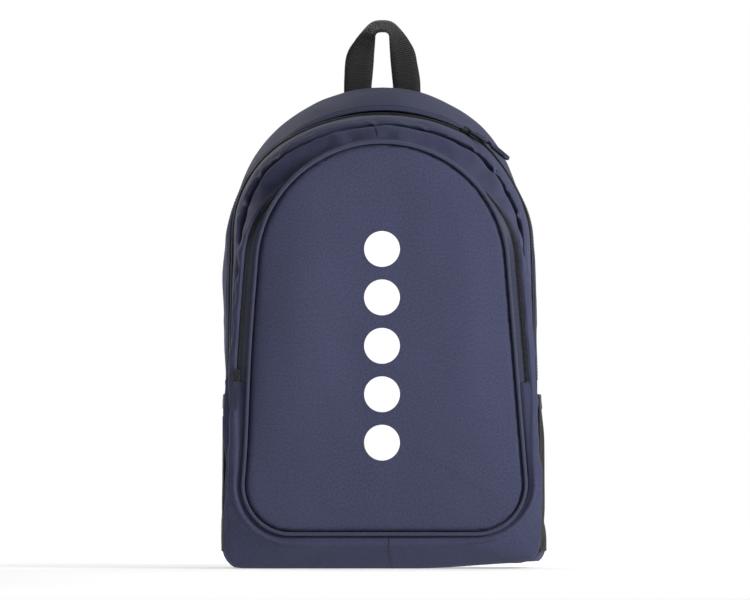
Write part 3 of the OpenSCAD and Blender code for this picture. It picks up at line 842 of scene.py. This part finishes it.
face = sheet_fill("front_face_cloth", face_poly(1.2), 3.0, face_y, navy, puffed=True)
move_points(face, settle)
face_tree = BVHTree.FromPolygons([v.co for v in face.data.vertices], [p.vertices for p in face.data.polygons])
lower_face = copy_of(face, "front_face_lower_cloth")
cut(face, 190, True)
cut(lower_face, 190, False)
face.name = "front_face_upper_cloth"
thick(face, 1.2, lining)
thick(lower_face, 1.2, lining)
done(face, ("front_face_upper",), bend=pocket_fold)
done(lower_face, ("front_face_lower", "front_face_fold", "front_face_middle"), bend=fold)

# Piping round the face
TP = FACE.even(900, 2.8)[:-1]
px, pz, pnx, pnz = FACE.at(TP, 2.8)
wob = nzt(TP * 640, 14, 5.5) * 0.25
pipe_path = settle(np.stack([px, -80.3 + wob, pz], -1))
pipe_path = np.concatenate([pipe_path, pipe_path[:1]])
pipe_across = np.stack([pnx, 0 * pnx, pnz], -1)
pipe_across = np.concatenate([pipe_across, pipe_across[:1]])
pipe = sweep("piping_cord", pipe_path, pipe_across, round_section(1.75), piping_cloth, closed=True)
sx, sz, _, _ = FACE.at(TP, 2.0)
seam = settle(np.stack([sx, np.full_like(sx, -74.2), sz], -1))
flange = thick(grid("piping_flange_upper", np.array([pipe_path[:-1], mix(pipe_path[:-1], seam, 0.5), seam]),
    piping_cloth, closed=True), 0.5, offset=0)
lower_flange = copy_of(flange, "piping_flange_lower")
lower_pipe = copy_of(pipe, "piping_lower_cord")
for part in (pipe, flange):
    cut(part, 190, True)
for part in (lower_pipe, lower_flange):
    cut(part, 190, False)
done(flange, bend=pocket_fold)
done(lower_flange, bend=fold)
pipe.name = "piping_upper_cord"
done(pipe, ("piping_upper",), bend=pocket_fold)
done(lower_pipe, ("piping_lower", "piping_fold"), bend=fold)

# Plain printed discs in a column down the face
for span, body_bend, node in ((range(3), pocket_fold, "print_dots_upper"), (range(3, 5), fold,
        "print_dots_lower")):
    for k in span:
        zc = 304 - 46 * k
        a = np.linspace(0, 2 * math.pi, 96, endpoint=False)
        ring = np.stack([17 * np.cos(a), zc + 17 * np.sin(a)], -1)

        def on_face(x, z, e):
            hits = [face_tree.ray_cast(Vector((a_ * MM, -0.3, b_ * MM)), Vector((0, 1, 0)))[0] for a_,
                b_ in zip(x, z)]
            return np.array([h.y / MM for h in hits]) - 0.3

        disc = sheet_fill(f"print_disc_{k + 1}", ring, 2.4, on_face, print_film)
        thick(disc, 0.22)
        done(disc, (node,), bend=body_bend)

# ---------------------------------------------------------------- zips
tooth = bar([(-0.5, 0.55), (-0.2, 1), (1.6, 1), (1.95, 0.6)], (0.5, 0.95), 6)
t_end = FACE.t_at(177.5, 13)
tz = FACE.even(700, 13, -t_end, t_end)
turn = smooth(FACE.at(tz, 12)[1], 292, 388)


def strip(name, a0, a1, material):
    p = settle([zip_plane(a, 0.0, tz, turn) for a in np.linspace(a0, a1, 4)])
    return thick(grid(name, p, material, flip=True), 0.5)


done(strip("pocket_tape_inner", -1.6, 5.7, pocket_tape), ("pocket_zip_tape_inner",),
    bend=pocket_fold)
done(strip("pocket_tape_outer", 6.1, 12.4, pocket_tape), ("pocket_zip_tape_outer",), bend=fold)
centre = settle(zip_plane(5.9, 1.25, tz, turn))
outward = settle(zip_plane(6.9, 1.25, tz, turn)) - centre
for name, sign, off, nodes, bend in (
    ("pocket_teeth_outer", 1, 0.0, "pocket_zip_coil_outer", fold),
    ("pocket_teeth_inner", -1, 0.72, "pocket_zip_coil_inner", pocket_fold),
):
    p, a = resample(centre, outward * sign, 1.45, off)
    done(instances(name, tooth, p, a, coil_nylon), (nodes,), bend=bend)

t_end = ZIP.t_at(177.5, -2)
tm = ZIP.even(800, -2, -t_end, t_end)
x, z, nx, nzz = ZIP.at(tm, -0.6)
centre = slump(np.stack([x, np.full_like(x, 8.0), z], -1))
across = np.stack([0.2 * nx, np.ones_like(nx), 0.2 * nzz], -1)
for name, sign, off, nodes, bend, body in (
    ("main_teeth_rear", 1, 0.0, "main_zip_coil_rear", None, "pack"),
    ("main_teeth_front", -1, 0.72, "main_zip_coil_front", fold, None),
):
    p, a = resample(centre, across * sign, 1.45, off)
    done(instances(name, tooth, p, a, coil_nylon), (nodes,), bend=bend, body=body)
for name, y0, y1, nodes, bend, body in (
    ("main_tape_rear", 8.2, 16, "main_zip_tape_rear", None, "pack"),
    ("main_tape_front", 7.8, 0, "main_zip_tape_front", fold, None),
):
    p = slump(np.array([ZIP.ring(tm, -1.8 + (0.2 if y > 8 else 1.0) * max(y - 8, -2.8),
        y) for y in np.linspace(y0, y1, 4)]))
    done(thick(grid(name, p, tape_cloth, flip=y1 < y0), 0.5), (nodes,), bend=bend, body=body)

# Stitching beside the zips
for name, line, bend, body in (("stitch_main_rear", seam_rear, None, "pack"), ("stitch_main_front",
        seam_front, fold, None)):
    done(stitches(name, line, np.tile([0.0, 1.0, 0.0], (len(line), 1)), thread), bend=bend,
        body=body)

# ---------------------------------------------------------------- inner panel, back panel
poly = np.stack(RIDGE.at(RIDGE.even(301, -5)[:-1], -5)[:2], -1)


def divider_y(x, z, e):
    return -36.5 + nz(np.stack([x, 0 * x, z], -1), 60, 4.0) * 1.2 * smooth(e, 0, 25)


divider = thick(sheet_fill("main_divider_cloth", poly, 7, divider_y, navy), 0.8, lining)
done(divider, ("main_divider_lower", "main_divider_upper"), bend=fold)

poly = np.stack(BACK.at(BACK.even(421, -1.0)[:-1], -1.0)[:2], -1)
poly[:, 1] = np.maximum(poly[:, 1], 0.6)


def back_y_of(x, z, e):
    return 80.0 + 1.3 * (1 - np.exp(-e / 10)) + nz(np.stack([x, 0 * x, z], -1), 70, 1.0) * 0.5 * smooth(e, 3,
        30)


back = sheet_fill("back_panel_cloth", poly, 5, back_y_of, navy, front=False)
move_points(back, lay_down)
thick(back, 1.2, lining)
done(back, ("back_panel",), body="pack")
tb = BACK.even(900, -5)[:-1]
tb = tb[BACK.at(tb, -5)[1] > 6]
bx, bz, bnx, bnz = BACK.at(tb, -5)
done(stitches("stitch_back", np.stack([bx, np.full_like(bx, 81.6), bz], -1), np.stack([bnx, 0 * bnx, bnz],
    -1), thread), body="pack")


# ---------------------------------------------------------------- padded pieces
def inflate(obj, voxel, pressure, cap, frames_n=20):
    """Cloth pressure on a closed mesh, with each point's move capped, then applied."""
    rm = obj.modifiers.new("remesh", "REMESH")
    rm.mode, rm.voxel_size = "VOXEL", voxel * MM
    bake(obj)
    rest = np.array([v.co for v in obj.data.vertices])
    scene = bpy.context.scene
    scene.frame_set(1)
    c = obj.modifiers.new("cloth", "CLOTH")
    c.settings.use_pressure = True
    c.settings.uniform_pressure_force = pressure
    c.settings.quality = 5
    c.settings.effector_weights.gravity = 0
    c.settings.tension_stiffness = 20
    c.settings.compression_stiffness = 20
    c.settings.bending_stiffness = 0.6
    c.collision_settings.use_collision = False
    c.point_cache.frame_start, c.point_cache.frame_end = 1, frames_n
    for f in range(1, frames_n + 1):
        scene.frame_set(f)
    ev = obj.evaluated_get(bpy.context.evaluated_depsgraph_get())
    got = np.array([v.co for v in ev.data.vertices])
    obj.modifiers.clear()
    scene.frame_set(1)
    move = got - rest
    size = np.linalg.norm(move, axis=1, keepdims=True)
    k = np.minimum(1, cap * MM / np.maximum(size, 1e-9))
    rest = rest + move * k
    obj.data.vertices.foreach_set("co", rest.ravel())
    obj.data.update()
    sm = obj.modifiers.new("smooth", "SMOOTH")
    sm.iterations, sm.factor = 3, 0.5
    sub = obj.modifiers.new("sub", "SUBSURF")
    sub.levels = sub.render_levels = 1
    bake(obj)
    obj.data.polygons.foreach_set("use_smooth", [True] * len(obj.data.polygons))
    return obj


# Back pad
box_low, box_high = (np.array(v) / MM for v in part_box("back_pad"))
t = BACK.even(201, -31)[:-1]
bx, bz, _, _ = BACK.at(t, -31)
poly = np.stack([bx, np.clip(bz, box_low[2] + 4, box_high[2] - 4)], -1)
poly = poly[np.concatenate([[True], np.linalg.norm(np.diff(poly, axis=0), axis=1) > 0.5])]
pad = sheet_fill("back_pad_mesh", poly, 6, lambda x, z, e: 82.2 + 3.2 * smooth(e, -2, 12), pad_mesh,
    front=False)
thick(pad, 3.6, offset=1.0)
inflate(pad, 3.4, 3.0, 4.5)


def channels(co):
    x, y, z = co.T
    groove = np.maximum.reduce([bell(x, 0, 3.2), bell(z, 196, 3.2), bell(z, 292, 3.2)])
    y = np.where(y > 83.5, y - groove * (y - 83.6) * 0.75, y)
    return np.stack([x, np.maximum(y, 81.7), z], -1)


move_points(pad, channels)
pad.data.materials.clear()
pad.data.materials.append(pad_mesh)
done(pad, ("back_pad",), body="pack")
edge = np.stack([poly[:, 0], np.full(len(poly), 83.4), poly[:, 1]], -1)
edge = np.concatenate([edge, edge[:1]])
e_norm = np.gradient(edge, axis=0)
e_out = np.cross(e_norm, (0, 1, 0))
edging = sweep("back_pad_binding", edge, e_out, round_section(2.0, 8), binding, closed=True)
done(edging, body="pack")

# Yoke that covers the upper ends of the straps
t = BACK.even(301, -7)[:-1]
bx, bz, _, _ = BACK.at(t, -7)
poly = np.stack([bx, np.maximum(bz, 398)], -1)
poly = poly[np.concatenate([[True], np.linalg.norm(np.diff(poly, axis=0), axis=1) > 0.3])]
yoke = thick(sheet_fill("strap_yoke_cloth", poly, 5, lambda x, z,
    e: 82.6 + 0.8 * (1 - np.exp(-e / 5)) + 0.9 * bell(np.abs(x), 50, 26) * smooth(e, 0, 8), navy,
        front=False), 1.0)
done(yoke, ("strap_yoke",), body="pack")
for k, inset in enumerate((3.0, 6.0)):
    xs = np.linspace(-96, 96, 120)
    p = np.stack([xs, np.full_like(xs, 84.1) + 0.9 * bell(np.abs(xs), 50, 26), np.full_like(xs, 398 + inset)],
        -1)
    done(stitches(f"stitch_yoke_{k + 1}", p, np.tile([0.0, 0.0, 1.0], (len(xs), 1)), thread),
        body="pack")

# Shoulder straps: right one made, left one mirrored
PATH = np.array([
    (50.5, 86.5, 404), (51.2, 92, 399), (52.6, 104, 391), (54.6, 116, 379), (57.5, 125, 363), (62, 132, 344),
        (68, 138, 318),
    (76, 141, 290), (85, 140, 262), (94, 136, 235), (102, 130, 210), (109, 123, 187), (114.5, 116.6, 166),
])
WIDTH = np.array([61, 62, 62, 62, 62, 62, 62, 61, 58, 53, 47, 41, 36.0])


def spline(points, n):
    """A Catmull-Rom curve through points, at n even steps."""
    p = rows([np.atleast_2d(q) for q in points], 12)[:, 0]
    s = np.concatenate([[0], np.cumsum(np.linalg.norm(np.diff(p[:, :3], axis=0), axis=1))])
    at = np.linspace(0, s[-1], n)
    return np.stack([np.interp(at, s, p[:, i]) for i in range(p.shape[1])], -1)


track = spline(np.column_stack([PATH, WIDTH]), 90)
core, width = track[:, :3], track[:, 3]
strap_across = np.tile([math.cos(math.radians(8)), 0.0, math.sin(math.radians(8))], (len(core), 1))
thickness = np.interp(np.arange(90), [0, 6, 80, 89], [4.5, 8.0, 8.0, 6.0])
sec = []
for w_, t_ in zip(width, thickness):
    a = np.linspace(0, 2 * math.pi, 28, endpoint=False)
    c, s_ = np.cos(a), np.sin(a)
    sec.append(np.stack([np.sign(c) * np.abs(c) ** 0.35 * (w_ / 2 - 2.0),
        np.sign(s_) * np.abs(s_) ** 0.6 * t_ / 2], -1))
strap = sweep("shoulder_strap_right_pad", core, strap_across, np.array(sec), navy_object)
inflate(strap, 3.2, 3.0, 2.6)
strap.data.materials.clear()
strap.data.materials.append(navy_object)
strap.data.materials.append(pad_mesh)
_, tan, acr, outv = frames(core, strap_across)
for poly_ in strap.data.polygons:
    poly_.material_index = 1 if poly_.normal.y < -0.25 else 0


def strap_bend():
    def bend(obj):
        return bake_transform(obj)
    return bend


both = [("shoulder_strap_right", strap, "navy_cloth", ("strap_root_right", "shoulder_strap_right"))]
for sgn, tag in ((1, "outer"), (-1, "inner")):
    line = core + acr * (sgn * (width / 2 - 1.6))[:, None]
    both.append(("strap_binding_" + tag + "_right", sweep("strap_binding_" + tag + "_right", line, acr,
        round_section(2.6, 10, 1.35), binding), "elastic", ()))
    for h in (-1, 1):
        line = core + acr * (sgn * (width / 2 - 6.4))[:, None] + outv * (h * (thickness / 2 + 0.9))[:, None]
        nm = f"strap_stitch_{tag}_{'back' if h > 0 else 'front'}_right"
        both.append((nm, stitches(nm, line[3:-3], acr[3:-3], black_thread), "webbing", ()))
for nm, obj, slot_, nodes in both:
    left = mirrored(obj, nm.replace("right", "left") + ("_pad" if obj is strap else ""))
    done(obj, nodes, bend=strap_bend())
    done(left, tuple(n.replace("right", "left") for n in nodes), bend=strap_bend())

# Lower webbing: from the ladder lock to the wing, its free tail, and the loop that holds the lock
lock_m = Matrix.Translation((116.5, 114, 158)) @ Matrix.Rotation(math.radians(-7), 4,
    "Y") @ Matrix.Rotation(math.radians(-14), 4, "X")


def in_lock(points):
    return np.array([tuple(lock_m @ Vector(p)) for p in points])


lock_x = np.array(tuple(lock_m.to_3x3() @ Vector((1, 0, 0))))


def webbing_band(name, pts, n, material=webbing, w=25.0, t=1.5):
    path = spline(pts, n)
    return sweep(name, path, np.tile(lock_x, (n, 1)), band_section(w, t), material)


foot = np.array([(129.4, 84.2, 46), (128.6, 84.6, 52), (127.6, 86.6, 64)])
run = in_lock([(0, -3.4, -80), (0, -3.5, -50), (0, -3.6, -26), (0, -1.2, -19), (0, 2.7, -16), (0, 3.3, -11.5),
    (0, 2.4, -8.8), (0, 0.6, -9.5), (0, -2.7, -13), (0, -3.4, -20)])
main_run = webbing_band("strap_webbing_right_run", np.concatenate([foot, run[:8]]), 70)
tail = webbing_band("strap_webbing_right_tail", in_lock([(0, 0.4, -12.6), (0, 3.4, -17), (0, 4.2, -24), (0.5,
    4.4, -45), (-0.5, 4.8, -66), (0, 3.8, -84)]), 50)
tail_end = webbing_band("strap_webbing_right_hem", in_lock([(0, 5.2, -76), (0, 5.0, -80), (0, 4.6, -84.2), (0,
    3.6, -84.6), (0, 3.0, -83.6)]), 16)
loop = webbing_band("strap_lock_loop_right", in_lock([(0, 3.2, 14), (0, 3.0, 2), (0, 2.8, -3.2), (0, 0.6,
    -5.6), (0, -2.2, -4.4), (0, -3.0, 2), (0, -2.6, 14)]), 40, w=24.0)


def foot_bend(side):
    def bend(obj):
        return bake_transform(obj)
    return bend


pieces = [
    ("strap_webbing_right_run", main_run, ("strap_webbing_right",), foot_bend),
    ("strap_webbing_right_tail", tail, (), None),
    ("strap_webbing_right_hem", tail_end, (), None),
    ("strap_lock_loop_right", loop, (), None),
]
for nm, obj, nodes, bender in pieces:
    left = mirrored(obj, nm.replace("right", "left"))
    for side, o in ((1, obj), (-1, left)):
        use = nodes if side > 0 else tuple(n.replace("right", "left") for n in nodes)
        if bender:
            done(o, use, bend=bender(side))
        else:
            done(o, use, body="strap_right" if side > 0 else "strap_left")

# Wings that carry the lower ends of the webbing
wing_poly = np.array([(148.5, 21), (148.5, 73), (140, 60.5), (137, 58.5), (121.5, 58.5), (119, 56), (119,
    39.5), (121, 37)], float)
dense = np.concatenate([a + (b - a) * np.linspace(0, 1, 10, endpoint=False)[:, None] for a,
    b in zip(wing_poly, np.roll(wing_poly, -1, 0))])
wing = thick(sheet_fill("strap_wing_right_cloth", dense, 3, lambda x, z, e: 82.4 + 1.0 * (1 - np.exp(-e / 2)),
    navy, front=False), 1.0)
wing_l = mirrored(wing, "strap_wing_left_cloth")
done(wing, ("strap_wing_right",), body="pack")
done(wing_l, ("strap_wing_left",), body="pack")
lines = []
for zz in (41.5, 55.5):
    lines.append(np.array([(122 + k * 2.0, 84.9, zz) for k in range(10)], float))
lines.append(np.array([(122 + k * 2.0, 84.9, 42.5 + k * 1.35) for k in range(10)], float))
lines.append(np.array([(122 + k * 2.0, 84.9, 54.7 - k * 1.35) for k in range(10)], float))
for k, line in enumerate(lines):
    o = stitches(f"stitch_wing_{k + 1}_right", line, np.tile([0.0, 0.1, 1.0], (len(line), 1)), black_thread,
        2.6)
    ol = mirrored(o, f"stitch_wing_{k + 1}_left")
    done(o, body="pack")
    done(ol, body="pack")


# ---------------------------------------------------------------- grab handle: one length of webbing
def handle_edges():
    inner = np.array([(-10.6, 86, 419), (-10.6, 86, 436), (-10.6, 85.6, 454), (-9.8, 85.2, 468), (-9.2, 84.6,
        485), (-8.8, 82.5, 501),
                      (-7.4, 79.5, 508), (-3.9, 77.2, 511.2), (0.5, 76.6, 511.8)])
    outer = np.array([(-35.8, 86, 419), (-35.8, 86, 436), (-35.9, 85.6, 454), (-35.2, 85.4, 472), (-32.6,
        86.5, 493), (-24.5, 91, 506.5),
                      (-15.8, 94.6, 516.5), (-8.4, 96, 521.8), (0.5, 96.4, 523)])
    flip_x = lambda a, k: np.concatenate([a, a[-2::-1] * (-1, 1, 1) + (k, 0, 0)])
    return spline(flip_x(inner, 0.6), 140), spline(flip_x(outer, 0.6), 140)


inner, outer = handle_edges()
outer[:, 0] -= 2.4 * bell(outer[:, 2], 490, 14) * (outer[:, 0] > 12)
acr_h = outer - inner
w_h = np.linalg.norm(acr_h, axis=1)
mid = 0.5 * (inner + outer)
section = np.array([band_section(w_, 1.7, 0.0) for w_ in w_h])
handle = sweep("grab_handle_webbing", mid, acr_h, section, webbing)
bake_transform(handle)
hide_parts("grab_handle", "handle_ends")
for side in (-1, 1):
    xs = [side * 13.0, side * 33.2]
    box_lines = [[(xs[0], 422), (xs[1], 422)], [(xs[0], 444), (xs[1], 444)], [(xs[0], 422), (xs[0], 444)],
        [(xs[1], 422), (xs[1], 444)],
                 [(xs[0], 422), (xs[1], 444)], [(xs[1], 422), (xs[0], 444)]]
    for k, (a, b) in enumerate(box_lines):
        p = np.array([(a[0] + (b[0] - a[0]) * q, 87.0, a[1] + (b[1] - a[1]) * q) for q in np.linspace(0, 1,
            12)])
        acr_ = np.cross(np.gradient(p, axis=0), (0, 1, 0))
        done(stitches(f"stitch_handle_{'left' if side < 0 else 'right'}_{k + 1}", p, acr_, black_thread, 2.7),
            body="pack")


# ---------------------------------------------------------------- mesh pockets and label
walls = [BVHTree.FromPolygons([v.co[:] for v in o.data.vertices],
    [q.vertices[:] for q in o.data.polygons]) for o in (shell, front_shell, gusset)]


def wall_reach(side, y, z):
    """How far out the bag's own cloth reaches on this side, at this place."""
    hits = [tree.ray_cast(Vector((side * 0.2, y * MM, z * MM)), Vector((-side, 0, 0)))[0] for tree in walls]
    return max([side * h.x / MM for h in hits if h is not None] + [0.0])


def pocket(side, bulge):
    """One side pocket: netting with a bound, slightly gathered top edge."""
    y = np.concatenate([np.linspace(-31, -16, 12), np.linspace(-14, 55, 40), np.linspace(57, 70, 10)])
    prof = smooth(y, -33, -12) * smooth(-y, -72, -50)
    zz = np.concatenate([np.linspace(16, 150, 46), np.linspace(152, 164.5, 8)])
    p = np.zeros((len(zz), len(y), 3))
    for i_, z_ in enumerate(zz):
        k = (z_ - 14) / 150
        body_x = np.interp(z_, [0, 20, 60, 200], [149.2, 150.2, 149.9, 148.6])
        swell = bulge * (0.35 + 0.65 * smooth(z_, 14, 60)) * (1 - 0.85 * smooth(z_, 122, 168))
        swell *= smooth(z_, 14, 34)
        gather = 0.5 * np.sin(y / 3.3 + 1.3 * k) * smooth(z_, 135, 160)
        x_ = body_x + 0.6 + prof * (swell + gather) + 0.5 * nzt(y + z_ * 0.7, 16, 3.0 + side) * prof
        p[i_] = np.stack([side * x_, y, np.full_like(y, z_) + 1.2 * np.sin(y / 40) * k], -1)
    reach = np.array([[wall_reach(side, y_, z_) for _, y_, z_ in row] for row in p])
    around = np.pad(reach, 2, mode="edge")
    n0, n1 = reach.shape
    reach = np.max([around[i_:i_ + n0, j_:j_ + n1] for i_ in range(5) for j_ in range(5)], axis=0)
    around = np.pad(reach, 1, mode="edge")
    reach = np.mean([around[i_:i_ + n0, j_:j_ + n1] for i_ in range(3) for j_ in range(3)], axis=0)
    p[..., 0] = side * np.maximum(side * p[..., 0], reach + 0.8)
    p[-1:, :, 2] -= 0.2
    nm = "right" if side > 0 else "left"
    net = thick(grid(f"mesh_pocket_{nm}_net", p[:-6], mesh_knit, flip=side < 0), 0.5)
    done(net, (f"mesh_pocket_{nm}",), body="pack")
    hem = p[-8:].copy()
    outer_ = hem.copy()
    outer_[..., 0] += side * 0.9
    h = thick(grid(f"pocket_elastic_{nm}_band", outer_, binding, flip=side < 0), 1.9)
    done(h, (f"pocket_elastic_{nm}",), body="pack")
    low_edge = p[0]
    acr_ = np.tile([side * 1.0, 0, 0.3], (len(low_edge), 1))
    done(sweep(f"mesh_pocket_{nm}_seam", low_edge + (-side * 0.5, 0, 0.4), acr_, round_section(0.7, 8),
        binding), body="pack")
    for tag, col in (("front", 0), ("back", -1)):
        line = p[:, col]
        acr_ = np.tile([0, 1.0, 0], (len(line), 1))
        done(sweep(f"mesh_pocket_{nm}_{tag}_seam", line, acr_, round_section(0.9, 8), binding),
            body="pack")


pocket(1, 4.6)
pocket(-1, 2.0)
lab = np.array([[(-148.6 - 3.0 * math.sin(a) ** 0.7 if a else -148.6, -37.4 + 1.7 * a / math.pi,
    z_) for a in np.linspace(0, math.pi, 9)] for z_ in np.linspace(123, 145, 12)])
done(thick(grid("side_label_tab", lab, label_cloth), 0.5, offset=0), ("side_label",), body="pack")

# Centre seams: a thin black rod where two lengths of gusset join, painted shade for the narrow tuck there
for nm, want_x, top, r0, r1 in (("seam_low_painted_shade", 7.0, False, 9, edge_row + 3), ("seam_top_painted_shade", -5.0, True, 8, 21)):
    half = np.where((UF < 0.5) == top)[0]
    j = int(half[np.argmin(np.abs(gusset_rows[edge_row, half, 0] - want_x))])
    line = spline(gusset_rows[r0:r1, j] + (0, -0.15, 0.25 if top else -0.05), 40)
    line[:, 2] = np.maximum(line[:, 2], 0.4)
    done(sweep(nm, line, np.tile([1.0, 0, 0], (40, 1)), round_section(0.5, 6), black_thread),
        bend=fold)

# ---------------------------------------------------------------- CAD pieces that keep their shape
for node, material, slot_bevel in (
    ("main_slider_a", slider_paint, 0.25), ("main_slider_b", slider_paint, 0.25), ("pocket_slider",
        slider_paint, 0.25),
    ("main_pull_link_a", link_paint, 0.15), ("main_pull_link_b", link_paint, 0.15), ("pocket_pull_link",
        link_paint, 0.15),
    ("main_pull_grip_a", grip_rubber, 0.25), ("main_pull_grip_b", grip_rubber, 0.25), ("pocket_pull_grip",
        grip_rubber, 0.25),
    ("ladder_lock_left", buckle_plastic, 0.7), ("ladder_lock_right", buckle_plastic, 0.7),
    ("main_zip_stops", coil_nylon, 0.2), ("pocket_zip_stops", coil_nylon, 0.1),
    ("back_seam_binding", binding_solid, 0),
):
    obj = NODES[node]
    if not obj.data.materials:
        obj.data.materials.append(material)
    for k in range(len(obj.material_slots)):
        obj.material_slots[k].material = material
    if slot_bevel:
        bv = obj.modifiers.new("edge", "BEVEL")
        bv.width, bv.segments, bv.limit_method = slot_bevel * MM, 2, "ANGLE"
        bv.angle_limit = math.radians(35)

# ---------------------------------------------------------------- studio
scene = bpy.context.scene
floor_tree = Tree("studio_white")
floor_tree.set(Base_Color=(0.8, 0.8, 0.8), Roughness=0.9)
floor_tree.b.inputs["Specular IOR Level"].default_value = 0.0
floor_tree.b.inputs["Emission Color"].default_value = (1, 1, 1, 1)
floor_tree.b.inputs["Emission Strength"].default_value = 0.4
pts = np.array([[(x_, y_, 0.0) for y_ in (-4500.0, 1700.0)] for x_ in (-2600.0, 2600.0)])
floor = grid("studio_floor", pts, floor_tree.m)


def area(name, place, target, size, power, colour=(1, 1, 1)):
    light = bpy.data.lights.new(name, "AREA")
    light.shape, light.size, light.size_y = "RECTANGLE", size[0], size[1]
    light.energy, light.color = power, colour
    obj = bpy.data.objects.new(name, light)
    obj.location = place
    obj.rotation_euler = (Vector(target) - Vector(place)).to_track_quat("-Z", "Y").to_euler()
    scene.collection.objects.link(obj)


area("key", (1.45, -1.20, 0.90), (0, -0.05, 0.24), (0.4, 0.6), 36)
area("fill", (-0.5, -3.4, 0.3), (0, 0, 0.22), (1.4, 1.0), 2)
area("floor_front", (0, -2.6, 0.9), (0, -2.6, 0), (4.0, 2.0), 17)
area("floor_rear", (0, 1.3, 1.5), (0, 1.3, 0), (5.0, 1.6), 36)
area("rear", (-1.5, 2.2, 1.3), (0, 0.1, 0.25), (1.0, 1.0), 22)
world = bpy.data.worlds.new("studio")
world.use_nodes = True
tree = world.node_tree
back_node = tree.nodes["Background"]
back_node.inputs[1].default_value = 1.0
where = tree.nodes.new("ShaderNodeTexCoord")
split = tree.nodes.new("ShaderNodeSeparateXYZ")
fade = tree.nodes.new("ShaderNodeValToRGB")
fade.color_ramp.elements[0].position, fade.color_ramp.elements[0].color = 0.02, (1, 1, 1, 1)
fade.color_ramp.elements[1].position, fade.color_ramp.elements[1].color = 0.1, (0.07, 0.07, 0.07, 1)
tree.links.new(where.outputs["Generated"], split.inputs[0])
tree.links.new(split.outputs["Z"], fade.inputs[0])
tree.links.new(fade.outputs[0], back_node.inputs[0])
scene.world = world
scene.view_settings.view_transform = "Standard"

camera = bpy.data.cameras.new("camera")
distance = 24.0
camera.sensor_width = 36
camera.lens = 36 * distance / 0.7125
camera.clip_end = 100
cam = bpy.data.objects.new("camera", camera)
cam.location = (-0.00665, -0.08 - distance, 0.2555)
cam.rotation_euler = (math.radians(90), 0, 0)
scene.collection.objects.link(cam)
scene.camera = cam
